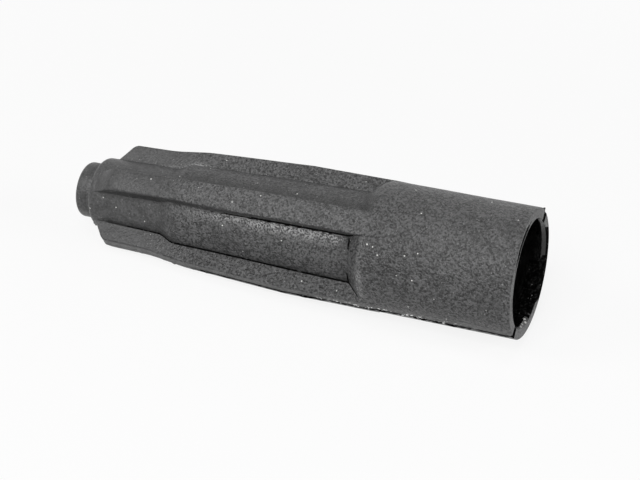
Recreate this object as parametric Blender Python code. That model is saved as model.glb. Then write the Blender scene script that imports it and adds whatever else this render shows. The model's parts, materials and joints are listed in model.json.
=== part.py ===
"""Spark plug cap: a ribbed rubber boot over a hard insulator and its contacts.

Units are metres, +Z is up. Every piece is turned or lofted about one long axis.
On that axis a distance is measured from the boot's mouth, towards the cable.
The finished cap lies at rest on the floor z = 0: its sleeve touches below the
shoulder and two of its ribs touch near the cable end.
"""

import math

import bmesh
import bpy
from mathutils import Matrix, Vector

MM = 0.001

# Clearance between two pieces that meet
FIT = 0.3 * MM

# Sleeve round the spark plug
MOUTH_BORE_RADIUS = 10.6 * MM
MOUTH_BORE_DEPTH = 25.0 * MM
MOUTH_BORE_DRAFT = 0.4 * MM
MOUTH_LEAD_IN = 0.4 * MM
SLEEVE_WALL = 2.4 * MM
SLEEVE_LENGTH = 30.6 * MM
SLEEVE_EDGE_ROUND = 0.25 * MM
THROAT_RADIUS = 5.0 * MM
THROAT_LENGTH = 6.0 * MM
THROAT_LEAD_IN = 1.2 * MM

# Insulator, from its porcelain seat to its cable end
PLUG_SEAT_RADIUS = 5.6 * MM
PLUG_SEAT_DEPTH = 8.7 * MM
INSULATOR_WALL = 1.3 * MM
INSULATOR_EDGE_ROUND = 0.5 * MM

# Plug socket and its snap wire
TERMINAL_BORE_RADIUS = 3.2 * MM
SOCKET_LENGTH = 10.0 * MM
SOCKET_WALL = 1.3 * MM
SOCKET_FLOOR = 1.2 * MM
SOCKET_LEAD_IN = 0.5 * MM
SOCKET_SLOT_COUNT = 4
SOCKET_SLOT_WIDTH = 0.8 * MM
SOCKET_SLOT_LENGTH = 6.5 * MM
SNAP_WIRE_RADIUS = 0.3 * MM
SNAP_WIRE_DISTANCE = 3.2 * MM
SNAP_WIRE_GAP_DEGREES = 50.0

# Suppression resistor: a ceramic rod between two pressed caps
RESISTOR_ROD_RADIUS = 2.2 * MM
RESISTOR_CAP_WALL = 0.4 * MM
RESISTOR_CAP_LENGTH = 3.2 * MM

# Compression spring behind the resistor
SPRING_LENGTH = 5.4 * MM
SPRING_WIRE_RADIUS = 0.35 * MM
SPRING_END_PITCH = 0.9 * MM
SPRING_TURNS = 4

# Wood screw that bites into the cable's core
SCREW_HEAD_RADIUS = 4.4 * MM
SCREW_HEAD_LENGTH = 2.7 * MM
SCREW_CORE_RADIUS = 1.1 * MM
SCREW_THREAD_DEPTH = 0.6 * MM
SCREW_THREAD_PITCH = 1.6 * MM
SCREW_THREAD_TURNS = 6
SCREW_POINT_LENGTH = 2.0 * MM

# Rubber core over the insulator
CORE_WALL = 2.0 * MM
CORE_DRAFT = 0.7 * MM
CORE_LENGTH = 38.4 * MM
SHOULDER_LENGTH = 3.4 * MM
SHOULDER_CREST_ROUND = 4.0 * MM
SHOULDER_FOOT_ROUND = 1.2 * MM
CORE_STEP_LENGTH = 3.6 * MM
CORE_STEP_ROUND = 3.0 * MM

# Cable grip, with the bead at its end
CABLE_BORE_RADIUS = 3.5 * MM
CABLE_LEAD_IN = 0.4 * MM
GRIP_WALL = 4.0 * MM
GRIP_DRAFT = 0.3 * MM
GRIP_LENGTH = 16.7 * MM
GRIP_END_ROUND = 1.8 * MM
GROOVE_WALL = 2.0 * MM
GROOVE_LENGTH = 1.2 * MM
BEAD_WALL = 2.2 * MM
BEAD_LENGTH = 2.7 * MM
BEAD_ROUND = 1.1 * MM

# Ribs along the core
RIB_COUNT = 4
RIB_WIDTH = 4.7 * MM
RIB_EDGE_ROUND = 0.35 * MM
RIB_STAND_ON_SLEEVE = 0.2 * MM
RIB_OVERLAP_ON_SLEEVE = 2.8 * MM
RIB_BELLY_LENGTH = 14.0 * MM
RIB_HEIGHT_ON_CORE = 2.75 * MM
RIB_HEIGHT_ON_GRIP = 3.6 * MM
RIB_END_SETBACK = 5.4 * MM
RIB_CHAMFER_LENGTH = 2.8 * MM
RIB_CORNER_ROUND = 1.6 * MM
RIB_STEP_ROUND = 8.0 * MM

# Facets
BOOT_SEGMENTS = 48
INNER_SEGMENTS = 32
WIRE_SEGMENTS = 8
THREAD_COLUMNS = 20
THREAD_ROWS_PER_TURN = 6
ARC_STEPS = 3
CUTTER_MARGIN = 1.0 * MM

# Radii that follow from what the boot holds
SLEEVE_RADIUS = MOUTH_BORE_RADIUS + SLEEVE_WALL
INSULATOR_RADIUS = PLUG_SEAT_RADIUS + INSULATOR_WALL
POCKET_RADIUS = INSULATOR_RADIUS + FIT
CORE_END_RADIUS = POCKET_RADIUS + CORE_WALL
CORE_START_RADIUS = CORE_END_RADIUS + CORE_DRAFT
GRIP_START_RADIUS = CABLE_BORE_RADIUS + GRIP_WALL
GRIP_END_RADIUS = GRIP_START_RADIUS - GRIP_DRAFT
GROOVE_RADIUS = CABLE_BORE_RADIUS + GROOVE_WALL
BEAD_RADIUS = CABLE_BORE_RADIUS + BEAD_WALL
SOCKET_RADIUS = TERMINAL_BORE_RADIUS + SOCKET_WALL
SOCKET_BORE_RADIUS = SOCKET_RADIUS + FIT
SNAP_WIRE_RING_RADIUS = SOCKET_RADIUS - SNAP_WIRE_RADIUS
RESISTOR_CAP_BORE = RESISTOR_ROD_RADIUS + FIT
RESISTOR_CAP_RADIUS = RESISTOR_CAP_BORE + RESISTOR_CAP_WALL
RESISTOR_BORE_RADIUS = RESISTOR_CAP_RADIUS + FIT
SPRING_RING_RADIUS = RESISTOR_CAP_RADIUS - SPRING_WIRE_RADIUS - FIT
SCREW_SEAT_RADIUS = SCREW_HEAD_RADIUS + FIT

# Places along the outside, from the mouth
CORE_START = SLEEVE_LENGTH + SHOULDER_LENGTH
STEP_START = CORE_START + CORE_LENGTH
GRIP_START = STEP_START + CORE_STEP_LENGTH
GRIP_END = GRIP_START + GRIP_LENGTH
BEAD_START = GRIP_END + GROOVE_LENGTH / 2
BOOT_LENGTH = BEAD_START + BEAD_LENGTH
RIB_START = SLEEVE_LENGTH - RIB_OVERLAP_ON_SLEEVE
RIB_CORNER = GRIP_END - RIB_END_SETBACK
RIB_END = RIB_CORNER + RIB_CHAMFER_LENGTH

# Places along the inside, from the mouth
POCKET_START = MOUTH_BORE_DEPTH + THROAT_LENGTH
POCKET_END = GRIP_START
INSULATOR_START = POCKET_START + FIT
INSULATOR_END = POCKET_END - FIT
SEAT_END = INSULATOR_START + PLUG_SEAT_DEPTH
SOCKET_START = SEAT_END + FIT
SOCKET_END = SOCKET_START + SOCKET_LENGTH
SOCKET_BORE_END = SOCKET_END + FIT
SCREW_START = INSULATOR_END - SCREW_HEAD_LENGTH
SCREW_HEAD_END = SCREW_START + SCREW_HEAD_LENGTH
SCREW_TIP = SCREW_HEAD_END + SCREW_THREAD_PITCH * SCREW_THREAD_TURNS + SCREW_POINT_LENGTH
SCREW_SEAT_START = SCREW_START - FIT
SPRING_END = SCREW_START - FIT
SPRING_START = SPRING_END - SPRING_LENGTH
RESISTOR_START = SOCKET_END + FIT
RESISTOR_END = SPRING_START - FIT
ROD_START = RESISTOR_START + RESISTOR_CAP_WALL + FIT
ROD_END = RESISTOR_END - RESISTOR_CAP_WALL - FIT

# Turns a drawing of the section (distance, radius) into the cap's own frame
OUT_OF_THE_MOUTH = -1.0


def clear_scene():
    """Removes every object that the file already holds."""
    for item in list(bpy.data.objects):
        bpy.data.objects.remove(item, do_unlink=True)


def plain_material(name, colour, roughness, metallic=0.0):
    """Returns a Principled material of one colour."""
    material = bpy.data.materials.new(name)
    material.use_nodes = True
    shader = material.node_tree.nodes["Principled BSDF"]
    shader.inputs["Base Color"].default_value = (*colour, 1.0)
    shader.inputs["Roughness"].default_value = roughness
    shader.inputs["Metallic"].default_value = metallic
    return material


def materials():
    """Returns the cap's materials by name."""
    return {
        "rubber": plain_material("black_rubber", (0.085, 0.085, 0.087), 0.62),
        "insulator": plain_material("insulator_resin", (0.16, 0.045, 0.025), 0.38),
        "brass": plain_material("brass", (0.72, 0.52, 0.23), 0.28, metallic=1.0),
        "ceramic": plain_material("ceramic", (0.78, 0.75, 0.68), 0.45),
        "spring": plain_material("spring_steel", (0.52, 0.52, 0.54), 0.3, metallic=1.0),
    }


def rounded_outline(corners, steps=ARC_STEPS):
    """Replaces each corner (distance, radius, fillet) by an arc of that fillet.

    The tangent length is limited to just under half of the shorter side.
    """
    outline = []
    last = len(corners) - 1
    for index, (place, radius, fillet) in enumerate(corners):
        corner = Vector((place, radius))
        if fillet == 0.0 or index in (0, last):
            outline.append(corner)
            continue
        before = Vector(corners[index - 1][:2]) - corner
        after = Vector(corners[index + 1][:2]) - corner
        outline.extend(arc_in_corner(corner, before, after, fillet, steps))
    return outline


def arc_in_corner(corner, before, after, fillet, steps):
    """Returns the arc that rounds one corner between its two sides."""
    half_angle = before.angle(after) / 2
    tangent = fillet / math.tan(half_angle)
    tangent = min(tangent, 0.48 * before.length, 0.48 * after.length)
    radius = tangent * math.tan(half_angle)
    to_centre = (before.normalized() + after.normalized()).normalized()
    centre = corner + to_centre * (radius / math.sin(half_angle))
    start = corner + before.normalized() * tangent - centre
    end = corner + after.normalized() * tangent - centre
    turn = start.angle_signed(end)
    return [centre + turned_vector(start, -turn * step / steps) for step in range(steps + 1)]


def turned_vector(vector, angle):
    """Returns a plane vector turned by an angle, anticlockwise."""
    cosine = math.cos(angle)
    sine = math.sin(angle)
    return Vector((cosine * vector.x - sine * vector.y, sine * vector.x + cosine * vector.y))


def new_object(name, mesh, material=None):
    """Adds a mesh to the scene as a named object with its material."""
    item = bpy.data.objects.new(name, mesh)
    bpy.context.collection.objects.link(item)
    if material:
        mesh.materials.append(material)
    return item


def finish_mesh(name, shape):
    """Writes a bmesh to a mesh with its faces out, round faces smooth."""
    bmesh.ops.recalc_face_normals(shape, faces=shape.faces)
    mesh = bpy.data.meshes.new(name)
    shape.to_mesh(mesh)
    shape.free()
    mesh.shade_smooth()
    mesh.set_sharp_from_angle(angle=math.radians(35))
    return mesh


def turned(name, outline, segments, material=None, closed=False):
    """Spins an outline of (distance, radius) about the axis.

    A closed outline is a ring's section. An open one starts and ends on the axis.
    """
    shape = bmesh.new()
    verts = [shape.verts.new((OUT_OF_THE_MOUTH * p[0], 0.0, p[1])) for p in outline]
    edges = [shape.edges.new(pair) for pair in zip(verts, verts[1:])]
    if closed:
        edges.append(shape.edges.new((verts[-1], verts[0])))
    bmesh.ops.spin(
        shape,
        geom=verts + edges,
        cent=(0.0, 0.0, 0.0),
        axis=(1.0, 0.0, 0.0),
        angle=math.tau,
        steps=segments,
        use_merge=True,
        use_duplicate=False,
    )
    bmesh.ops.remove_doubles(shape, verts=shape.verts, dist=1e-7)
    return new_object(name, finish_mesh(name, shape), material)


def lofted(name, rings, material=None):
    """Joins rings of points in order and caps both ends."""
    shape = bmesh.new()
    loops = [[shape.verts.new(point) for point in ring] for ring in rings]
    count = len(loops[0])
    for near, far in zip(loops, loops[1:]):
        for index in range(count):
            following = (index + 1) % count
            shape.faces.new((near[index], near[following], far[following], far[index]))
    shape.faces.new(loops[0])
    shape.faces.new(loops[-1])
    return new_object(name, finish_mesh(name, shape), material)


def box(name, low, high):
    """Adds a box between two corners."""
    shape = bmesh.new()
    size = Vector(high) - Vector(low)
    middle = (Vector(high) + Vector(low)) / 2
    bmesh.ops.create_cube(shape, size=1.0, matrix=Matrix.Translation(middle) @ Matrix.Diagonal((*size, 1.0)))
    return new_object(name, finish_mesh(name, shape))


def wire(name, points, radius, material):
    """Adds a round wire with filled ends along a list of points."""
    curve = bpy.data.curves.new(name, "CURVE")
    curve.dimensions = "3D"
    curve.bevel_depth = radius
    curve.bevel_resolution = WIRE_SEGMENTS // 2 - 2
    curve.use_fill_caps = True
    spline = curve.splines.new("POLY")
    spline.points.add(len(points) - 1)
    for target, point in zip(spline.points, points):
        target.co = (*point, 1.0)
    curve.materials.append(material)
    item = bpy.data.objects.new(name, curve)
    bpy.context.collection.objects.link(item)
    return item


def use_tool(target, tool, operation):
    """Joins a tool to its target, or cuts the target with it."""
    modifier = target.modifiers.new(tool.name, "BOOLEAN")
    modifier.object = tool
    modifier.operation = operation
    modifier.solver = "EXACT"
    tool.hide_render = True
    tool.display_type = "WIRE"
    tool.parent = target


def boot_outside():
    """Returns the outline of the boot without its ribs."""
    corners = [
        (0.0, 0.0, 0.0),
        (0.0, SLEEVE_RADIUS, SLEEVE_EDGE_ROUND),
        (SLEEVE_LENGTH, SLEEVE_RADIUS, SHOULDER_CREST_ROUND),
        (CORE_START, CORE_START_RADIUS, SHOULDER_FOOT_ROUND),
        (STEP_START, CORE_END_RADIUS, CORE_STEP_ROUND),
        (GRIP_START, GRIP_START_RADIUS, CORE_STEP_ROUND),
        (GRIP_END - GROOVE_LENGTH / 2, GRIP_END_RADIUS, GRIP_END_ROUND),
        (GRIP_END, GROOVE_RADIUS, 0.0),
        (BEAD_START, BEAD_RADIUS, BEAD_ROUND),
        (BOOT_LENGTH, BEAD_RADIUS, BEAD_ROUND),
        (BOOT_LENGTH, 0.0, 0.0),
    ]
    return rounded_outline(corners)


def boot_inside():
    """Returns the outline of the passage through the boot, past both ends."""
    mouth_end_radius = MOUTH_BORE_RADIUS - MOUTH_BORE_DRAFT
    corners = [
        (-CUTTER_MARGIN, 0.0, 0.0),
        (-CUTTER_MARGIN, MOUTH_BORE_RADIUS + MOUTH_LEAD_IN + CUTTER_MARGIN, 0.0),
        (MOUTH_LEAD_IN, MOUTH_BORE_RADIUS, 0.0),
        (MOUTH_BORE_DEPTH, mouth_end_radius, SLEEVE_WALL / 2),
        (MOUTH_BORE_DEPTH, THROAT_RADIUS + THROAT_LEAD_IN, 0.0),
        (MOUTH_BORE_DEPTH + THROAT_LEAD_IN, THROAT_RADIUS, 0.0),
        (POCKET_START, THROAT_RADIUS, 0.0),
        (POCKET_START, POCKET_RADIUS, INSULATOR_EDGE_ROUND),
        (POCKET_END, POCKET_RADIUS, INSULATOR_EDGE_ROUND),
        (POCKET_END, CABLE_BORE_RADIUS, 0.0),
        (BOOT_LENGTH - CABLE_LEAD_IN, CABLE_BORE_RADIUS, 0.0),
        (BOOT_LENGTH + CUTTER_MARGIN, CABLE_BORE_RADIUS + CABLE_LEAD_IN + CUTTER_MARGIN, 0.0),
        (BOOT_LENGTH + CUTTER_MARGIN, 0.0, 0.0),
    ]
    return rounded_outline(corners)


def rib_crest():
    """Returns the line of a rib's crest, from the sleeve to its cable end."""
    crest_at_step = CORE_END_RADIUS + RIB_HEIGHT_ON_CORE
    crest_past_step = GRIP_START_RADIUS + RIB_HEIGHT_ON_GRIP
    sleeve_crest = SLEEVE_RADIUS + RIB_STAND_ON_SLEEVE
    corners = [
        (RIB_START, sleeve_crest, 0.0),
        (CORE_START + RIB_BELLY_LENGTH, sleeve_crest, RIB_STEP_ROUND),
        (STEP_START, crest_at_step, RIB_STEP_ROUND),
        (GRIP_START, crest_past_step, RIB_STEP_ROUND),
        (RIB_CORNER, crest_past_step - GRIP_DRAFT, RIB_CORNER_ROUND),
        (RIB_END, GRIP_END_RADIUS - RIB_EDGE_ROUND, 0.0),
    ]
    return rounded_outline(corners)


def rib_section(place, crest, foot):
    """Returns one section of an upright rib: two flanks and a crest on the round.

    The crest has no edge on its middle line, where the boot has a row of edges:
    two rows of edges in one plane make the joining of rib and boot uncertain.
    """
    half = RIB_WIDTH / 2
    edge = RIB_EDGE_ROUND
    bevel = edge * (1 - math.sqrt(0.5))
    drop = [(half, edge), (half - bevel, bevel), (half - edge, 0.0), (half / 3, 0.0)]
    side = [(across, math.sqrt(crest**2 - across**2) - below) for across, below in drop]
    right = [(half, foot), *side]
    left = [(-across, height) for across, height in reversed(right)]
    return [(OUT_OF_THE_MOUTH * place, across, height) for across, height in right + left]


def rib(index):
    """Adds one rib, rooted inside the core's wall, at its angle round the axis."""
    foot = (CABLE_BORE_RADIUS + GROOVE_RADIUS) / 2
    rings = [rib_section(place, crest, foot) for place, crest in rib_crest()]
    item = lofted(f"rib_tool_{index}", rings)
    angle = (index + 0.5) * math.tau / RIB_COUNT
    item.data.transform(Matrix.Rotation(angle, 4, "X"))
    return item


def rubber_boot(material):
    """Adds the boot: sleeve, core, cable grip and ribs moulded as one."""
    boot = turned("rubber_boot", boot_outside(), BOOT_SEGMENTS, material)
    for index in range(RIB_COUNT):
        use_tool(boot, rib(index), "UNION")
    passage = turned("passage_cutter", boot_inside(), BOOT_SEGMENTS)
    use_tool(boot, passage, "DIFFERENCE")
    return boot


def insulator_body(material):
    """Adds the hard tube that holds the contacts and seats on the porcelain."""
    corners = [
        (INSULATOR_START, PLUG_SEAT_RADIUS, 0.0),
        (INSULATOR_START, INSULATOR_RADIUS, INSULATOR_EDGE_ROUND),
        (INSULATOR_END, INSULATOR_RADIUS, INSULATOR_EDGE_ROUND),
        (INSULATOR_END, SCREW_SEAT_RADIUS, 0.0),
        (SCREW_SEAT_START, SCREW_SEAT_RADIUS, 0.0),
        (SCREW_SEAT_START, RESISTOR_BORE_RADIUS, 0.0),
        (SOCKET_BORE_END, RESISTOR_BORE_RADIUS, 0.0),
        (SOCKET_BORE_END, SOCKET_BORE_RADIUS, 0.0),
        (SEAT_END, SOCKET_BORE_RADIUS, 0.0),
        (SEAT_END, PLUG_SEAT_RADIUS, 0.0),
    ]
    return turned("insulator_body", rounded_outline(corners), INNER_SEGMENTS, material, closed=True)


def plug_socket(material):
    """Adds the slotted brass socket that takes the plug's terminal."""
    groove_half = SNAP_WIRE_RADIUS + FIT
    groove_place = SOCKET_START + SNAP_WIRE_DISTANCE
    groove_radius = SNAP_WIRE_RING_RADIUS - SNAP_WIRE_RADIUS - FIT
    outline = [
        (SOCKET_START, TERMINAL_BORE_RADIUS + SOCKET_LEAD_IN),
        (SOCKET_START, SOCKET_RADIUS),
        (groove_place - groove_half, SOCKET_RADIUS),
        (groove_place - groove_half, groove_radius),
        (groove_place + groove_half, groove_radius),
        (groove_place + groove_half, SOCKET_RADIUS),
        (SOCKET_END, SOCKET_RADIUS),
        (SOCKET_END, 0.0),
    ]
    bore = [
        (SOCKET_END - SOCKET_FLOOR, 0.0),
        (SOCKET_END - SOCKET_FLOOR, TERMINAL_BORE_RADIUS),
        (SOCKET_START + SOCKET_LEAD_IN, TERMINAL_BORE_RADIUS),
    ]
    socket = turned("plug_socket", bore + outline, INNER_SEGMENTS, material)
    slot_end = SOCKET_START + SOCKET_SLOT_LENGTH
    for index in range(SOCKET_SLOT_COUNT // 2):
        slot = box(
            f"slot_cutter_{index}",
            (-slot_end, -SOCKET_SLOT_WIDTH / 2, -SOCKET_RADIUS - CUTTER_MARGIN),
            (-SOCKET_START + CUTTER_MARGIN, SOCKET_SLOT_WIDTH / 2, SOCKET_RADIUS + CUTTER_MARGIN),
        )
        slot.data.transform(Matrix.Rotation((index + 0.5) * math.tau / SOCKET_SLOT_COUNT, 4, "X"))
        use_tool(socket, slot, "DIFFERENCE")
    return socket


def snap_wire(material):
    """Adds the open wire ring that closes the socket's fingers."""
    gap = math.radians(SNAP_WIRE_GAP_DEGREES)
    steps = INNER_SEGMENTS
    place = OUT_OF_THE_MOUTH * (SOCKET_START + SNAP_WIRE_DISTANCE)
    points = []
    for step in range(steps + 1):
        angle = gap / 2 + (math.tau - gap) * step / steps
        points.append(ring_point(place, SNAP_WIRE_RING_RADIUS, angle))
    return wire("snap_wire", points, SNAP_WIRE_RADIUS, material)


def ring_point(along, radius, angle):
    """Returns a point round the axis; angle 0 is straight up."""
    return (along, -radius * math.sin(angle), radius * math.cos(angle))


def resistor_rod(material):
    """Adds the resistor's ceramic rod."""
    corners = [
        (ROD_START, 0.0, 0.0),
        (ROD_START, RESISTOR_ROD_RADIUS, FIT),
        (ROD_END, RESISTOR_ROD_RADIUS, FIT),
        (ROD_END, 0.0, 0.0),
    ]
    return turned("resistor_rod", rounded_outline(corners), INNER_SEGMENTS, material)


def resistor_cap(name, closed_end, direction, material):
    """Adds one pressed cap; direction points from its closed end to its open one."""
    corners = [
        (closed_end, 0.0, 0.0),
        (closed_end, RESISTOR_CAP_RADIUS, FIT),
        (closed_end + direction * RESISTOR_CAP_LENGTH, RESISTOR_CAP_RADIUS, 0.0),
        (closed_end + direction * RESISTOR_CAP_LENGTH, RESISTOR_CAP_BORE, 0.0),
        (closed_end + direction * RESISTOR_CAP_WALL, RESISTOR_CAP_BORE, 0.0),
        (closed_end + direction * RESISTOR_CAP_WALL, 0.0, 0.0),
    ]
    return turned(name, rounded_outline(corners), INNER_SEGMENTS, material)


def contact_spring(material):
    """Adds the compression spring, with closer turns at its ends."""
    travel = SPRING_LENGTH - 2 * SPRING_WIRE_RADIUS
    middle_pitch = (travel - 2 * SPRING_END_PITCH) / (SPRING_TURNS - 2)
    pitches = [SPRING_END_PITCH] + [middle_pitch] * (SPRING_TURNS - 2) + [SPRING_END_PITCH]
    steps_per_turn = 16
    place = SPRING_START + SPRING_WIRE_RADIUS
    points = [ring_point(OUT_OF_THE_MOUTH * place, SPRING_RING_RADIUS, 0.0)]
    for pitch in pitches:
        for step in range(1, steps_per_turn + 1):
            place += pitch / steps_per_turn
            angle = math.tau * step / steps_per_turn
            points.append(ring_point(OUT_OF_THE_MOUTH * place, SPRING_RING_RADIUS, angle))
    return wire("contact_spring", points, SPRING_WIRE_RADIUS, material)


def thread_height(place, angle):
    """Returns the height of the screw's thread, from 0 in the root to 1 on its crest."""
    phase = (place / SCREW_THREAD_PITCH - angle / math.tau) % 1.0
    return max(0.0, 1.0 - abs(phase - 0.5) / 0.3)


def screw_ring(place, radii):
    """Returns one ring of the screw, with a radius for each of its columns."""
    return [
        ring_point(OUT_OF_THE_MOUTH * place, radius, math.tau * column / len(radii))
        for column, radius in enumerate(radii)
    ]


def thread_rings():
    """Returns the rings of the screw's thread, which fades in and out over a turn."""
    rows = THREAD_ROWS_PER_TURN * SCREW_THREAD_TURNS
    rings = []
    for row in range(1, rows + 1):
        along = SCREW_THREAD_PITCH * row / THREAD_ROWS_PER_TURN
        fade = min(1.0, row / THREAD_ROWS_PER_TURN, (rows - row) / THREAD_ROWS_PER_TURN)
        heights = [thread_height(along, math.tau * column / THREAD_COLUMNS) for column in range(THREAD_COLUMNS)]
        radii = [SCREW_CORE_RADIUS + SCREW_THREAD_DEPTH * fade * height for height in heights]
        rings.append(screw_ring(SCREW_HEAD_END + along, radii))
    return rings


def cable_screw(material):
    """Adds the screw: a flat head, a threaded shank and a point."""
    head = [screw_ring(place, [SCREW_HEAD_RADIUS] * THREAD_COLUMNS) for place in (SCREW_START, SCREW_HEAD_END)]
    neck = [screw_ring(SCREW_HEAD_END, [SCREW_CORE_RADIUS] * THREAD_COLUMNS)]
    tip = [screw_ring(SCREW_TIP, [SCREW_CORE_RADIUS / 4] * THREAD_COLUMNS)]
    return lofted("cable_screw", head + neck + thread_rings() + tip, material)


def resting_turn(boot):
    """Returns the matrix that lays the boot on the floor, over the origin.

    Seen from the side, the boot rests on the stretch of its lower outline that
    lies under its middle. That stretch is laid level on z = 0, and the middle
    of the boot's own box is moved over the origin.
    """
    bpy.context.view_layer.update()
    evaluated = boot.evaluated_get(bpy.context.evaluated_depsgraph_get())
    points = [vertex.co.copy() for vertex in evaluated.data.vertices]
    lower = lower_outline([(point.x, point.z) for point in points])
    middle = -BOOT_LENGTH / 2
    left, right = next(pair for pair in zip(lower, lower[1:]) if pair[0][0] <= middle <= pair[1][0])
    slope = math.atan2(right[1] - left[1], right[0] - left[0])
    turn = Matrix.Rotation(slope, 4, "Y")
    turned_points = [turn @ point for point in points]
    xs = [point.x for point in turned_points]
    lowest = min(point.z for point in turned_points)
    return Matrix.Translation((-(min(xs) + max(xs)) / 2, 0.0, -lowest)) @ turn


def lower_outline(points):
    """Returns the lower convex outline of plane points, from left to right."""
    outline = []
    for point in sorted(set(points)):
        while len(outline) > 1 and turns_down(outline[-2], outline[-1], point):
            outline.pop()
        outline.append(point)
    return outline


def turns_down(first, second, third):
    """Tells whether the second point lies on or above the line of the others."""
    run = (second[0] - first[0]) * (third[1] - first[1])
    rise = (second[1] - first[1]) * (third[0] - first[0])
    return run - rise <= 0.0


def build():
    """Builds every piece and lays the cap on the floor."""
    clear_scene()
    finish = materials()
    boot = rubber_boot(finish["rubber"])
    pieces = [
        boot,
        insulator_body(finish["insulator"]),
        plug_socket(finish["brass"]),
        snap_wire(finish["spring"]),
        resistor_rod(finish["ceramic"]),
        resistor_cap("resistor_cap_plug_end", RESISTOR_START, 1.0, finish["brass"]),
        resistor_cap("resistor_cap_cable_end", RESISTOR_END, -1.0, finish["brass"]),
        contact_spring(finish["spring"]),
        cable_screw(finish["brass"]),
    ]
    axis = bpy.data.objects.new("cap_axis", None)
    bpy.context.collection.objects.link(axis)
    axis.matrix_world = resting_turn(boot)
    for piece in pieces:
        piece.parent = axis


build()
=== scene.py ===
"""A spark plug cap on a pale floor: its rubber boot, its contacts and the studio.

Sizes are in metres. The cap lies on its side, so most pieces are drawn about the
cap's own axis. A place on that axis is a station: its distance from the mouth,
towards the cable end. Round the axis, angle 0 is straight up and 90 degrees
faces the camera's side.
"""

import json
import logging
import math
from dataclasses import dataclass, field
from enum import Enum
from typing import Iterable, Sequence

import bpy
from mathutils import Matrix, Vector, noise

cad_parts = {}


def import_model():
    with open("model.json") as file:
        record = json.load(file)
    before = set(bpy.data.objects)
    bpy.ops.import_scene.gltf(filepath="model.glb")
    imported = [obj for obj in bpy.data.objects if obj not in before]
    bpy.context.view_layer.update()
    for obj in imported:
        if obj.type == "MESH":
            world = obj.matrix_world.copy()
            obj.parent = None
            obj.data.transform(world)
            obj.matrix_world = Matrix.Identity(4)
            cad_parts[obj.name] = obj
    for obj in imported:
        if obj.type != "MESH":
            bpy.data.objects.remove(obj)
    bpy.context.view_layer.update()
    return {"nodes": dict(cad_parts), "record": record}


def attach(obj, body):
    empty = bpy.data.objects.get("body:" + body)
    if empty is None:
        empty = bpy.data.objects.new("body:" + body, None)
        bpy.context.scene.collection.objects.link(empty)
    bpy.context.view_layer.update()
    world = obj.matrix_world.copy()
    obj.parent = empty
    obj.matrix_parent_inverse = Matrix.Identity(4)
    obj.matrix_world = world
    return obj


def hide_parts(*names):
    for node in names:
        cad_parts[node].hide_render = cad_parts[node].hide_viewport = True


LOG = logging.getLogger("spark_plug_cap")
Socket = bpy.types.NodeSocket
Outline = list[Vector]
Colour = tuple[float, float, float, float]

MM = 0.001

# Each crumb: its station in mm, angle in degrees, width in mm, and whether it is bright.
CRUMBS = (
    (29.3, 62.3, 0.34, True),
    (28.1, 63.7, 0.28, True),
    (24.0, -4.0, 0.32, True),
    (20.5, 116.0, 0.32, True),
    (19.5, 86.0, 0.32, True),
    (21.5, 66.0, 0.28, True),
    (19.0, 62.0, 0.28, True),
    (13.0, 124.0, 0.30, True),
    (20.5, 26.0, 0.28, True),
    (7.5, 86.0, 0.50, False),
    (3.5, 86.0, 0.45, False),
    (33.8, 62.0, 0.34, True),
    (58.5, 48.0, 0.30, True),
    (53.0, 38.0, 0.26, True),
    (61.0, 74.0, 0.28, True),
    (56.5, 104.0, 0.22, True),
    (48.0, 78.0, 0.26, True),
    (77.5, 38.0, 0.30, True),
    (79.0, 96.0, 0.26, True),
    (85.5, 82.0, 0.26, True),
    (10.5, 44.0, 0.24, False),
    (15.0, 100.0, 0.22, True),
    (88.6, 70.0, 0.24, True),
    (42.0, 58.5, 0.24, True),
)
# White dots just inside the mouth, in the same columns: mostly painted glints, with one speck of
# debris.
BORE_GLINTS_AND_DEBRIS = (
    (0.7, 184.0, 0.60, True),
    (0.2, 180.0, 0.60, True),
    (0.4, 166.0, 0.50, True),
    (0.5, 173.0, 0.36, True),
    (0.8, 189.0, 0.34, True),
)


class Slot(Enum):
    """The name of the record's material slot for the boot, which the script does not use."""

    BOOT = "boot_rubber"


class Face(Enum):
    """Where a part of the boot's skin lies, which is also its material's index."""

    OUTSIDE = 0
    INSIDE = 1
    # Faces put in flat black as painted shade.
    PAINTED_SHADE = 2


@dataclass(frozen=True)
class Corner:
    """A corner of an outline that is turned about the cap's axis."""

    station: float
    radius: float
    fillet: float = 0.0

    def point(self) -> Vector:
        """Returns the corner as a plane point."""
        return Vector((self.station, self.radius))


@dataclass(frozen=True)
class CapAxis:
    """The cap's long axis as it lies on the floor."""

    mouth: Vector
    outward: Vector

    @classmethod
    def from_record(cls, record: dict, rim_radius: float) -> "CapAxis":
        """Finds the axis from the mount on the mouth's upper rim.

        Args:
            record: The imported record.
            rim_radius: The mount's distance from the axis.

        Returns:
            The axis, which lies in the upright middle plane.
        """
        rim = next(mount for mount in record["mounts"] if mount["name"] == "mouth_rim")
        outward = Vector(rim["axis"]).normalized()
        upward = Vector((-outward.z, 0.0, outward.x))
        return cls(mouth=Vector(rim["pos_m"]) - rim_radius * upward, outward=outward)

    def tilt(self) -> float:
        """Returns the turn about Y that lays a level axis on this one."""
        return -math.atan2(self.outward.z, self.outward.x)

    def matrix(self) -> Matrix:
        """Returns the matrix from the cap's own frame, mouth at the origin, to the world."""
        return Matrix.Translation(self.mouth) @ Matrix.Rotation(self.tilt(), 4, "Y")


def axis_point(station: float, angle: float, radius: float) -> Vector:
    """Returns the place at an angle and a radius round a station, in the cap's own frame."""
    return Vector((-station, -radius * math.sin(angle), radius * math.cos(angle)))


def smooth_ramp(value: float, start: float, end: float) -> float:
    """Returns 0 before start and 1 past end, with an even rise between."""
    share = min(1.0, max(0.0, (value - start) / (end - start)))
    return share * share * (3.0 - 2.0 * share)


def bell(value: float, centre: float, width: float) -> float:
    """Returns 1 at a centre, and less and less on both sides of it."""
    return math.exp(-(((value - centre) / width) ** 2))


def grey(level: float) -> Colour:
    """Returns a grey."""
    return (level, level, level, 1.0)


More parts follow.
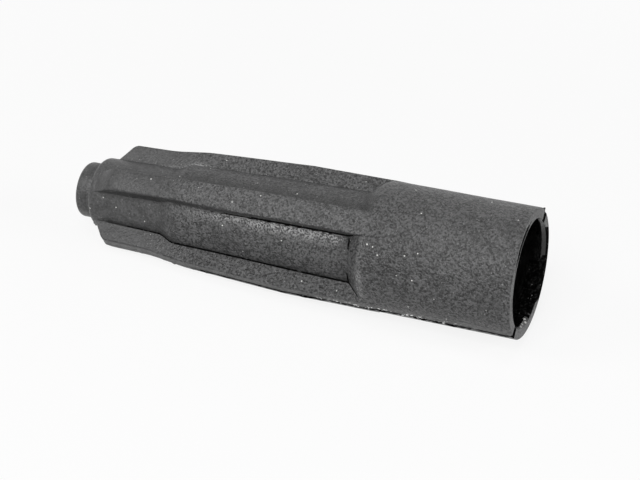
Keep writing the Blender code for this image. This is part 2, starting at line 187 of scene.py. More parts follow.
def toned(colour: Sequence[float], red: float, green: float, blue: float) -> Colour:
    """Returns a colour with each of its parts multiplied by a share."""
    return (colour[0] * red, colour[1] * green, colour[2] * blue, 1.0)


def turned_vector(vector: Vector, angle: float) -> Vector:
    """Returns a plane vector turned anticlockwise by an angle."""
    cosine, sine = math.cos(angle), math.sin(angle)
    return Vector((cosine * vector.x - sine * vector.y, sine * vector.x + cosine * vector.y))


def corner_arc(
    corner: Vector, before: Vector, after: Vector, fillet: float, steps: int
) -> Outline:
    """Rounds one corner of an outline.

    Args:
        corner: The corner.
        before: The way to the corner before it.
        after: The way to the corner after it.
        fillet: The wanted radius; the tangent length stays under half of each side.
        steps: How many edges the arc gets.

    Returns:
        The points of the arc, from the side before to the side after.
    """
    half = before.angle(after) / 2
    tangent = min(fillet / math.tan(half), 0.48 * before.length, 0.48 * after.length)
    radius = tangent * math.tan(half)
    inward = (before.normalized() + after.normalized()).normalized()
    centre = corner + inward * (radius / math.sin(half))
    start = corner + before.normalized() * tangent - centre
    end = corner + after.normalized() * tangent - centre
    turn = -start.angle_signed(end)
    return [centre + turned_vector(start, turn * step / steps) for step in range(steps + 1)]


def rounded(corners: Sequence[Corner], steps: int = 6, closed: bool = False) -> Outline:
    """Draws an outline through corners, each rounded by its fillet.

    Args:
        corners: The corners in order.
        steps: How many edges each arc gets.
        closed: Whether the last corner joins the first.

    Returns:
        The outline's points of station and radius.
    """
    outline: Outline = []
    last = len(corners) - 1
    for index, corner in enumerate(corners):
        open_end = not closed and index in (0, last)
        if corner.fillet == 0.0 or open_end:
            outline.append(corner.point())
            continue
        before = corners[index - 1].point() - corner.point()
        after = corners[(index + 1) % (last + 1)].point() - corner.point()
        outline.extend(corner_arc(corner.point(), before, after, corner.fillet, steps))
    return outline


def refined(outline: Outline, longest: float) -> Outline:
    """Returns an outline whose edges are split where they are longer than a length.

    Args:
        outline: The outline.
        longest: The greatest length that an edge keeps.

    Returns:
        The finer outline.
    """
    finer: Outline = []
    for start, end in zip(outline, outline[1:]):
        parts = max(1, math.ceil((end - start).length / longest))
        finer.extend(start.lerp(end, part / parts) for part in range(parts))
    finer.append(outline[-1])
    return finer


def with_stations(outline: Outline, stations: Iterable[float]) -> Outline:
    """Returns an outline with a point added at each station that it passes.

    Args:
        outline: The outline.
        stations: The wanted stations, in any order.

    Returns:
        The finer outline.
    """
    finer: Outline = [outline[0]]
    wanted = sorted(stations)
    for start, end in zip(outline, outline[1:]):
        for station in wanted:
            if start.x + 1e-5 < station < end.x - 1e-5:
                finer.append(start.lerp(end, (station - start.x) / (end.x - start.x)))
        finer.append(end)
    return finer


def radius_at(outline: Outline, station: float) -> float:
    """Returns the radius of an outline, whose stations rise, at one station.

    Args:
        outline: The outline.
        station: The station.

    Returns:
        The radius there, or that of the nearer end past the outline.
    """
    for start, end in zip(outline, outline[1:]):
        if start.x <= station <= end.x and end.x > start.x:
            return start.lerp(end, (station - start.x) / (end.x - start.x)).y
    return outline[0].y if station < outline[0].x else outline[-1].y


def deselect_all() -> None:
    """Leaves edit mode and lets go of every object."""
    if bpy.context.object and bpy.context.object.mode != "OBJECT":
        bpy.ops.object.mode_set(mode="OBJECT")
    bpy.ops.object.select_all(action="DESELECT")


def close_up(piece: bpy.types.Object, distance: float) -> None:
    """Merges a piece's doubled points and turns its faces out.

    Args:
        piece: The piece.
        distance: How close two points are that become one.
    """
    deselect_all()
    piece.select_set(True)
    bpy.context.view_layer.objects.active = piece
    bpy.ops.object.mode_set(mode="EDIT")
    bpy.ops.mesh.select_all(action="SELECT")
    bpy.ops.mesh.remove_doubles(threshold=distance)
    bpy.ops.mesh.normals_make_consistent(inside=False)
    bpy.ops.object.mode_set(mode="OBJECT")


class Graph:
    """The nodes of a material or of the world, added one at a time."""

    def __init__(self, owner: bpy.types.ID) -> None:
        """Turns on the owner's nodes, which hold its shader and its output.

        Args:
            owner: The material or the world.
        """
        owner.use_nodes = True
        self.owner = owner
        self.tree = owner.node_tree
        nodes = self.tree.nodes
        self.shader = nodes.get("Principled BSDF") or nodes["Background"]

    def add(self, kind: str, inputs: dict | None = None, **settings: object) -> bpy.types.Node:
        """Adds a node.

        Args:
            kind: The node's type.
            inputs: Values or sockets for its inputs, by name or index.
            settings: Values for the node's own properties.

        Returns:
            The node.
        """
        node = self.tree.nodes.new(kind)
        for key, value in settings.items():
            setattr(node, key, value)
        for key, value in (inputs or {}).items():
            self.feed(node, key, value)
        return node

    def feed(self, node: bpy.types.Node, key: str | int, value: object) -> None:
        """Gives a node's input a plain value, or joins it to another node's output.

        Args:
            node: The node.
            key: The input's name or index.
            value: The plain value, or the other node's output.
        """
        if isinstance(value, Socket):
            self.tree.links.new(value, node.inputs[key])
        else:
            node.inputs[key].default_value = value

    def maths(self, operation: str, first: object, second: object = 0.0) -> Socket:
        """Adds a sum or another operation and returns its result."""
        return self.add("ShaderNodeMath", {0: first, 1: second}, operation=operation).outputs[0]

    def times(self, first: object, *others: object) -> Socket:
        """Returns the product of its factors.

        Args:
            first: The first factor.
            others: The other factors.

        Returns:
            The product.
        """
        for other in others:
            first = self.maths("MULTIPLY", first, other)
        return first

    def ramp(
        self, value: object, low: float, high: float, at_low: float = 0.0, at_high: float = 1.0
    ) -> Socket:
        """Maps a range of a value smoothly to another range.

        Args:
            value: The value.
            low: Where the rise or fall starts.
            high: Where it ends, which may be below its start.
            at_low: The result at the start.
            at_high: The result at the end.

        Returns:
            The result.
        """
        inputs = {"Value": value, "From Min": low, "From Max": high}
        inputs |= {"To Min": at_low, "To Max": at_high}
        node = self.add("ShaderNodeMapRange", inputs, interpolation_type="SMOOTHSTEP")
        return node.outputs["Result"]

    def tint(self, share: object, first: object, second: object) -> Socket:
        """Mixes two colours by a share and returns the result."""
        node = self.add("ShaderNodeMix", {0: share, 6: first, 7: second}, data_type="RGBA")
        return node.outputs[2]

    def part(self, place: object, index: int) -> Socket:
        """Returns one part of a place: 0 along the axis, 1 and 2 across it."""
        return self.add("ShaderNodeSeparateXYZ", {0: place}).outputs[index]

    def attribute(self, name: str) -> Socket:
        """Returns a value that the piece's own points carry."""
        return self.add("ShaderNodeAttribute", attribute_name=name).outputs["Fac"]

    def noise(
        self, place: object, size: float, detail: float = 2.0, roughness: float = 0.55
    ) -> Socket:
        """Adds a noise whose blotches are about one size across, and returns its value."""
        inputs = {"Vector": place, "Scale": 1.0 / size, "Detail": detail, "Roughness": roughness}
        return self.add("ShaderNodeTexNoise", inputs).outputs["Fac"]

    def cells(self, place: object, size: float) -> tuple[Socket, Socket, Socket]:
        """Adds a pattern of cells.

        Args:
            place: Where the pattern is read.
            size: How far the cells lie apart.

        Returns:
            Two values that are random in each cell, and the distance from its middle.
        """
        pattern = self.add("ShaderNodeTexVoronoi", {"Vector": place, "Scale": 1.0 / size}).outputs
        random = self.add("ShaderNodeSeparateColor", {0: pattern["Color"]}).outputs
        return random[0], random[1], pattern["Distance"]

    def specks(self, place: object, spacing: float, width: float, share: float) -> Socket:
        """Scatters small specks.

        Args:
            place: Where the pattern is read.
            spacing: The size of a cell, each of which may hold one speck.
            width: A speck's width.
            share: How many of the cells hold one.

        Returns:
            A mask, 1 on the specks.
        """
        chance, growth, distance = self.cells(place, spacing)
        reach = self.times(self.ramp(growth, 0.0, 1.0, 0.5, 1.3), width / spacing / 2)
        chosen = self.maths("LESS_THAN", chance, share)
        return self.times(chosen, self.maths("LESS_THAN", distance, reach))

    def spot(self, place: object, centre: Vector, width: float) -> Socket:
        """Returns a mask that is 1 on one speck."""
        away = self.add("ShaderNodeVectorMath", {0: place, 1: centre}, operation="DISTANCE")
        return self.ramp(away.outputs["Value"], width * 0.56, width * 0.44)

    def cap_place(self, axis: CapAxis, turn: float = 0.0) -> Socket:
        """Returns object coordinates in the cap's own frame, turned about its axis.

        Args:
            axis: The cap's axis.
            turn: The turn about that axis.

        Returns:
            The coordinates.
        """
        coordinates = self.add("ShaderNodeTexCoord").outputs["Object"]
        lay = {"Vector": coordinates, "Location": axis.mouth, "Rotation": (0.0, axis.tilt(), 0.0)}
        place = self.add("ShaderNodeMapping", lay, vector_type="TEXTURE").outputs[0]
        if turn:
            roll = {"Vector": place, "Rotation": (turn, 0.0, 0.0)}
            place = self.add("ShaderNodeMapping", roll).outputs[0]
        return place

    def bump(self, height: object, depth: float, strength: float, under: object = None) -> Socket:
        """Adds a bump of a real depth and returns its normal.

        Args:
            height: The height, from 0 to 1.
            depth: The real depth of a height of 1.
            strength: How much of it shows.
            under: The normal that it starts from, where there is one.

        Returns:
            The new normal.
        """
        inputs = {"Height": height, "Distance": depth, "Strength": strength}
        if under is not None:
            inputs["Normal"] = under
        return self.add("ShaderNodeBump", inputs).outputs[0]

    def seen(self) -> Socket:
        """Returns 1 for what the camera sees, straight on, in gloss or through glass.

        Returns:
            The mask, 0 for the light that only falls on other things.
        """
        path = self.add("ShaderNodeLightPath").outputs
        seen = self.maths("MAXIMUM", path["Is Camera Ray"], path["Is Glossy Ray"])
        return self.maths("MAXIMUM", seen, path["Is Transmission Ray"])

    def dress(self, colour: object, roughness: object, normal: object) -> bpy.types.Material:
        """Gives the shader its colour, roughness and normal, and returns the material.

        Args:
            colour: The base colour.
            roughness: The roughness.
            normal: The normal.

        Returns:
            The material.
        """
        self.feed(self.shader, "Base Color", colour)
        self.feed(self.shader, "Roughness", roughness)
        self.feed(self.shader, "Normal", normal)
        return self.owner


def material_graph(name: str) -> Graph:
    """Starts a material and returns its nodes."""
    return Graph(bpy.data.materials.new(name))


@dataclass(frozen=True)
class Crumb:
    """One dot at a place in the cap's own frame. Bright dots are specks of dust, dark ones pits; in
    the bore, the bright dots are painted glints.
    """

    place: Vector
    width: float
    bright: bool


@dataclass(frozen=True)
class MouldedRubber:
    """Black rubber as it leaves a worn steel mould, a little dusty; on the outside, with painted
    shade and painted highlights beside the ribs and along the flash line.
    """

    name: str
    colour: float = 0.045
    roughness: float = 0.44
    specular: float = 0.5
    grain: float = 0.40 * MM
    grain_depth: float = 0.50 * MM
    grain_strength: float = 0.8
    dust: float = 0.05
    flash_angle: float = math.radians(45.0)
    shows_flash: bool = True

    def build(self, axis: CapAxis, dots: Sequence[Crumb] = ()) -> bpy.types.Material:
        """Builds the material on the cap's own axis.

        Args:
            axis: The cap's axis.
            dots: The larger specks of dust and the pits; in the bore, painted glints.

        Returns:
            The material.
        """
        graph = material_graph(self.name)
        place = graph.cap_place(axis)
        fine = graph.noise(place, self.grain, 1.0, 0.6)
        coarse = graph.noise(place, 2.2 * MM, 3.0)
        sandy = self.sandiness(graph, place)
        colour = self.grainy(graph, place, fine, coarse, sandy)
        # Painted shade, and dust with a painted highlight, where the skin's points ask for them.
        if self.shows_flash:
            colour = self.shade_and_dust(graph, place, colour)
        colour, pits = self.speckled(graph, place, colour, dots)
        height = graph.times(graph.maths("SUBTRACT", fine, pits), sandy)
        normal = graph.bump(graph.noise(place, 5.0 * MM, 2.0), 0.25 * MM, 0.35)
        normal = graph.bump(height, self.grain_depth, self.grain_strength, normal)
        if self.shows_flash:
            colour, ridge = self.flash_line(graph, axis, colour)
            normal = graph.bump(ridge, 0.06 * MM, 0.8, normal)
        smooth, rough = self.roughness - 0.06, self.roughness + 0.08
        graph.shader.inputs["Specular IOR Level"].default_value = self.specular
        return graph.dress(colour, graph.ramp(coarse, 0.25, 0.75, smooth, rough), normal)

    def sandiness(self, graph: Graph, place: Socket) -> Socket:
        """Returns the grain's share: full on the core, less on the sleeve and the grip.

        Args:
            graph: The material's nodes.
            place: Where the share is read.

        Returns:
            The share.
        """
        along = graph.part(place, 0)
        past_grip = graph.ramp(along, -80.0 * MM, -64.0 * MM, 0.32, 1.0)
        return graph.times(past_grip, graph.ramp(along, -32.0 * MM, -4.0 * MM, 1.0, 0.85))

    def grainy(
        self, graph: Graph, place: Socket, fine: Socket, coarse: Socket, sandy: Socket
    ) -> Socket:
        """Mottles the rubber.

        Args:
            graph: The material's nodes.
            place: Where the patterns are read.
            fine: The noise of the grain.
            coarse: The noise of the mottling.
            sandy: The grain's share.

        Returns:
            The rubber's colour.
        """
        sand = graph.ramp(graph.cells(place, self.grain)[0], 0.1, 0.9, -0.8, 0.8)
        grains = graph.maths("ADD", graph.ramp(fine, 0.36, 0.64, -0.7, 0.7), sand)
        broad = graph.ramp(graph.noise(place, 8.0 * MM, 2.0), 0.3, 0.7, -0.16, 0.16)
        cloud = graph.maths("ADD", broad, graph.ramp(coarse, 0.3, 0.7, 0.76, 1.24))
        shade = graph.times(cloud, graph.maths("ADD", graph.times(grains, sandy), 1.0), 0.5)
        return graph.tint(shade, grey(0.0), toned([self.colour] * 3, 2.0, 2.0, 2.02))

    def shade_and_dust(self, graph: Graph, place: Socket, colour: Socket) -> Socket:
        """Paints shade into the creases, and lays dust with a painted highlight beside the ribs, as
        the skin's points say.

        Args:
            graph: The material's nodes.
            place: Where the pattern is read.
            colour: The rubber's colour so far.

        Returns:
            The new colour.
        """
        # Painted shade, in blotches, where the skin's points ask for it.
        blotches = graph.ramp(graph.noise(place, 0.7 * MM, 3.0), 0.30, 0.60, 0.65, 1.0)
        painted_shade = graph.times(graph.attribute("painted_shade"), blotches)
        colour = graph.tint(painted_shade, colour, grey(self.colour * 0.12))
        # Dust, lighter in places as a painted highlight, where the skin's points ask for it.
        patches = graph.ramp(graph.noise(place, 1.8 * MM, 3.0), 0.30, 0.62, 0.45, 1.0)
        grains = graph.ramp(graph.noise(place, 0.34 * MM, 0.5, 0.5), 0.42, 0.60, 0.03, 0.85)
        dust_and_highlight = graph.times(graph.attribute("dust_and_highlight"), patches, grains)
        return graph.tint(dust_and_highlight, colour, grey(0.40))

    def speckled(
        self, graph: Graph, place: Socket, colour: Socket, dots: Sequence[Crumb]
    ) -> tuple[Socket, Socket]:
        """Scatters dust and pits over the rubber, and the given dots.

        Args:
            graph: The material's nodes.
            place: Where the patterns are read.
            colour: The rubber's colour so far.
            dots: The larger specks of dust and pits; in the bore, painted glints.

        Returns:
            The new colour, and the mask of the pits.
        """
        grit = graph.specks(place, 0.62 * MM, 0.22 * MM, self.dust * 5.0)
        specks = graph.specks(place, 2.3 * MM, 0.26 * MM, self.dust * 8.0)
        pits = graph.specks(place, 1.9 * MM, 0.36 * MM, self.dust * 5.0)
        for dot in dots:
            mask = graph.spot(place, dot.place, dot.width)
            if dot.bright:
                specks = graph.maths("MAXIMUM", specks, mask)
            else:
                pits = graph.maths("MAXIMUM", pits, mask)
        colour = graph.tint(pits, colour, grey(self.colour * 0.15))
        colour = graph.tint(grit, colour, grey(self.colour * 3.6))
        return graph.tint(specks, colour, (0.66, 0.66, 0.64, 1.0)), pits

    def flash_line(self, graph: Graph, axis: CapAxis, colour: Socket) -> tuple[Socket, Socket]:
        """Paints and roughens the torn edge where the mould's halves met: a lighter band beside it
        as a painted highlight, the ridge as painted shade, and white painted glints.

        Args:
            graph: The material's nodes.
            axis: The cap's axis.
            colour: The rubber's colour so far.

        Returns:
            The new colour, and the height of the torn edge.
        """
        place = graph.cap_place(axis, self.flash_angle)
        along, across = graph.part(place, 0), graph.part(place, 1)
        wander = graph.noise(place, 1.6 * MM, 3.0)
        wander = graph.ramp(wander, 0.3, 0.7, -0.14 * MM, 0.14 * MM)
        offset = graph.maths("ABSOLUTE", graph.maths("ADD", across, wander))
        torn = graph.noise(place, 0.45 * MM, 3.0, 0.7)
        # Painted highlight: a lighter band beside the torn edge, as if its face caught the light.
        past_edge = graph.ramp(offset, 0.36 * MM, 0.50 * MM)
        beside = graph.times(past_edge, graph.ramp(offset, 2.2 * MM, 1.6 * MM))
        edge = graph.times(beside, graph.ramp(torn, 0.36, 0.58, 0.25, 1.0))
        colour = graph.tint(edge, colour, grey(0.085))
        # Painted shade on the torn ridge itself: near black on the body, light grey on the grip.
        near = graph.ramp(offset, 0.46 * MM, 0.32 * MM)
        ridge = graph.times(near, graph.ramp(torn, 0.30, 0.50, 0.55, 1.0))
        off_grip = graph.ramp(along, -72.0 * MM, -62.0 * MM)
        colour = graph.tint(ridge, colour, graph.tint(off_grip, grey(0.12), grey(0.004)))
        # Painted glints: white specks beside the torn edge, on the underside.
        belly = graph.ramp(along, -46.0 * MM, -34.0 * MM)
        belly = graph.times(belly, graph.ramp(along, -6.0 * MM, -18.0 * MM))
        flash_glints = graph.specks(place, 0.66 * MM, 0.50 * MM, 0.8)
        flash_glints = graph.times(flash_glints, graph.ramp(offset, 1.5 * MM, 1.2 * MM), belly)
        return graph.tint(flash_glints, colour, grey(0.85)), graph.times(near, torn)


@dataclass(frozen=True)
class PaintedShadeRubber:
    """Flat black rubber without gloss, laid as painted shade where the skin lies in deep shade."""

    name: str
    colour: float = 0.004

    def build(self, axis: CapAxis) -> bpy.types.Material:
        """Builds the material on the cap's own axis.

        Args:
            axis: The cap's axis.

        Returns:
            The material.
        """
        graph = material_graph(self.name)
        place = graph.cap_place(axis)
        mottle = graph.ramp(graph.noise(place, 0.5 * MM, 3.0), 0.45, 0.70)
        colour = graph.tint(mottle, grey(self.colour * 0.4), grey(self.colour * 5.0))
        # Painted glints in the black.
        glints = graph.specks(place, 0.55 * MM, 0.24 * MM, 0.14)
        colour = graph.tint(glints, colour, grey(0.14))
        graph.shader.inputs["Specular IOR Level"].default_value = 0.0
        roughness = graph.ramp(mottle, 0.0, 1.0, 0.75, 0.95)
        return graph.dress(colour, roughness, graph.bump(mottle, 0.02 * MM, 0.4))


@dataclass(frozen=True)
class MouldedResin:
    """Hard thermoset resin with a satin skin."""

    name: str
    colour: tuple[float, float, float] = (0.16, 0.045, 0.025)
    roughness: float = 0.36

    def build(self, axis: CapAxis) -> bpy.types.Material:
        """Builds the material on the cap's own axis.

        Args:
            axis: The cap's axis.

        Returns:
            The material.
        """
        graph = material_graph(self.name)
        place = graph.cap_place(axis)
        flecks = graph.noise(place, 0.5 * MM, 4.0, 0.7)
        cloud = graph.noise(place, 4.0 * MM, 3.0)
        dark, light = toned(self.colour, 0.8, 0.8, 0.8), toned(self.colour, 1.2, 1.2, 1.2)
        colour = graph.tint(graph.ramp(cloud, 0.3, 0.7), dark, light)
        share = graph.ramp(flecks, 0.62, 0.72, 0.0, 0.5)
        colour = graph.tint(share, colour, toned(self.colour, 2.0, 2.4, 2.6))
        smooth, rough = self.roughness - 0.05, self.roughness + 0.1
        roughness = graph.ramp(cloud, 0.3, 0.7, smooth, rough)
        return graph.dress(colour, roughness, graph.bump(flecks, 0.02 * MM, 0.4))


@dataclass(frozen=True)
class TurnedMetal:
    """Metal with fine rings from the lathe or the drawing die."""

    name: str
    colour: tuple[float, float, float]
    roughness: float
    ring_spacing: float = 0.12 * MM
    tarnish: float = 0.25

    def build(self, axis: CapAxis) -> bpy.types.Material:
        """Builds the material, with its rings square to the cap's own axis.

        Args:
            axis: The cap's axis.

        Returns:
            The material.
        """
        graph = material_graph(self.name)
        place = graph.cap_place(axis)
        waves = {"Vector": place, "Scale": 1.0 / (self.ring_spacing * 20), "Distortion": 1.5}
        waves |= {"Detail": 2.0, "Detail Scale": 3.0}
        rings = graph.add("ShaderNodeTexWave", waves, wave_type="BANDS", bands_direction="X")
        cloud = graph.noise(place, 2.5 * MM, 4.0, 0.65)
        share = graph.ramp(cloud, 0.45, 0.75, 0.0, self.tarnish)
        bright, dull = toned(self.colour, 1.0, 1.0, 1.0), toned(self.colour, 0.55, 0.5, 0.45)
        smooth, rough = self.roughness - 0.06, self.roughness + 0.16
        roughness = graph.ramp(cloud, 0.3, 0.8, smooth, rough)
        graph.shader.inputs["Metallic"].default_value = 1.0
        normal = graph.bump(rings.outputs["Fac"], 0.004 * MM, 0.5)
        return graph.dress(graph.tint(share, bright, dull), roughness, normal)


@dataclass(frozen=True)
class GlazedCeramic:
    """Off-white ceramic under a thin glaze."""

    name: str
    colour: tuple[float, float, float] = (0.78, 0.75, 0.68)
    roughness: float = 0.3

    def build(self, axis: CapAxis) -> bpy.types.Material:
        """Builds the material on the cap's own axis.

        Args:
            axis: The cap's axis.

        Returns:
            The material.
        """
        graph = material_graph(self.name)
        place = graph.cap_place(axis)
        cloud = graph.ramp(graph.noise(place, 1.5 * MM, 3.0), 0.3, 0.7)
        grit = graph.noise(place, 0.12 * MM, 2.0)
        clean, stained = toned(self.colour, 1.0, 1.0, 1.0), toned(self.colour, 0.86, 0.84, 0.8)
        smooth, rough = self.roughness - 0.05, self.roughness + 0.12
        roughness = graph.ramp(grit, 0.3, 0.7, smooth, rough)
        normal = graph.bump(grit, 0.01 * MM, 0.3)
        return graph.dress(graph.tint(cloud, clean, stained), roughness, normal)


@dataclass(frozen=True)
class FlashLine:
    """The torn edge that the mould leaves along one rib, with its nick in the mouth."""

    height: float
    nick_depth: float
    tab: float = 0.0


@dataclass(frozen=True)
class ValleyShadeAndDust:
    """How much painted shade, dust and painted highlight the rubber beside one flank of a rib gets.

    Steps are columns of the skin, counted from the foot of the rib into the valley.
    """

    # Painted shade: on the rib's lower flank, as a line and a broad band at its foot, and in the
    # pocket at the core's start.
    flank: float = 0.0
    line: float = 0.5
    line_width: float = 0.3 * MM
    line_to: float = 90.0 * MM
    painted_shade: float = 0.2
    crease_width: float = 1.1 * MM
    crease_to: float = 90.0 * MM
    pocket: float = 0.2
    # Black faces of painted shade at the core's start.
    base: float = 0.0
    # Painted highlight on the shoulder's round.
    shoulder: float = 0.0
    # Dust beside the rib's foot, lighter there as a painted highlight.
    dust_and_highlight: float = 0.0
    dust_and_highlight_from: float = 35.8 * MM
    dust_and_highlight_to: float = 68.0 * MM
    # Painted highlight on the crest.
    crest_highlight: float = 0.0
    # Black faces of painted shade, in a ragged line near the rib's foot.
    shade_from: float = 0.0
    shade_to: float = 0.0
    shade_steps: tuple[float, float] = (-1.0, 0.0)
    shade_cover: float = 1.0
    shade_rag: float = 0.8


@dataclass
class Rib:
    """One rib of the boot, with the painted shade, dust and painted highlight beside it on its side
    of rising and of falling angle.
    """

    degrees: float
    rising: ValleyShadeAndDust = ValleyShadeAndDust()
    falling: ValleyShadeAndDust = ValleyShadeAndDust()
    rising_root: float = 0.20 * MM
    falling_root: float = 0.20 * MM
    sway: float = 0.0
    end_shift: float = 0.0
    end_blur: float = 0.0
    flash: FlashLine | None = None

    @property
    def angle(self) -> float:
        """Returns the rib's angle round the axis."""
        return math.radians(self.degrees)

    def crest_station(self, station: float) -> float:
        """Returns the place on the common crest line that lies at one of this rib's stations."""
        return station - self.end_shift * smooth_ramp(station, 80.0 * MM, 86.0 * MM)


def four_ribs() -> list[Rib]:
    """Returns the ribs, in the order of their angles.

    Returns:
        The ribs: front, bottom, far side and top.
    """
    # Each side of each rib: its painted shade, its dust and its painted highlights.
    front_low = ValleyShadeAndDust(
        flank=0.85, line=0.0, painted_shade=0.0, pocket=1.0, base=4.0, shoulder=0.30, dust_and_highlight=1.0,
        crest_highlight=0.13, shade_from=32.6 * MM, shade_to=66.0 * MM, shade_steps=(-6.0, -3.6),
        shade_rag=0.5,
    )
    front_high = ValleyShadeAndDust(
        line=0.85, painted_shade=0.95, crease_width=4.0 * MM, crease_to=71.0 * MM, pocket=0.95,
        crest_highlight=0.13,
    )
    bottom_near = ValleyShadeAndDust(
        line=1.0, line_width=0.8 * MM, painted_shade=0.55, pocket=0.7, base=6.0, shoulder=0.6,
        shade_from=31.2 * MM, shade_to=88.0 * MM, shade_steps=(-2.2, 1.2), shade_rag=0.3,
    )
    top_near = ValleyShadeAndDust(
        line=0.85, line_to=74.0 * MM, painted_shade=0.5, crease_width=1.8 * MM, crease_to=58.0 * MM,
        shade_from=32.4 * MM, shade_to=50.0 * MM, shade_steps=(-1.6, 0.6), shade_cover=0.5,
        dust_and_highlight=1.8, dust_and_highlight_from=70.0 * MM, dust_and_highlight_to=77.0 * MM,
    )
    return [
        Rib(45.0, front_low, front_high, rising_root=1.0 * MM, sway=-0.22 * MM, end_blur=1.5 * MM),
        Rib(
            135.0, ValleyShadeAndDust(dust_and_highlight=0.4), bottom_near,
            end_shift=1.0 * MM, flash=FlashLine(0.30 * MM, 0.60 * MM),
        ),
        Rib(225.0, ValleyShadeAndDust(dust_and_highlight=0.5), ValleyShadeAndDust(line=0.7, painted_shade=0.4)),
        Rib(
            315.0, top_near, ValleyShadeAndDust(dust_and_highlight=0.4),
            end_shift=-0.05 * MM, flash=FlashLine(0.22 * MM, 0.25 * MM, 2.2),
        ),
    ]


@dataclass
class SkinRow:
    """One ring of the boot's skin, before the ribs lift it."""

    station: float
    radius: float
    face: Face
    outer: bool


@dataclass(frozen=True)
class ValleySpot:
    """A point beside a rib, by its column past the rib's foot and its way from there."""

    step: int
    along: float
    station: float
    ribbed: float


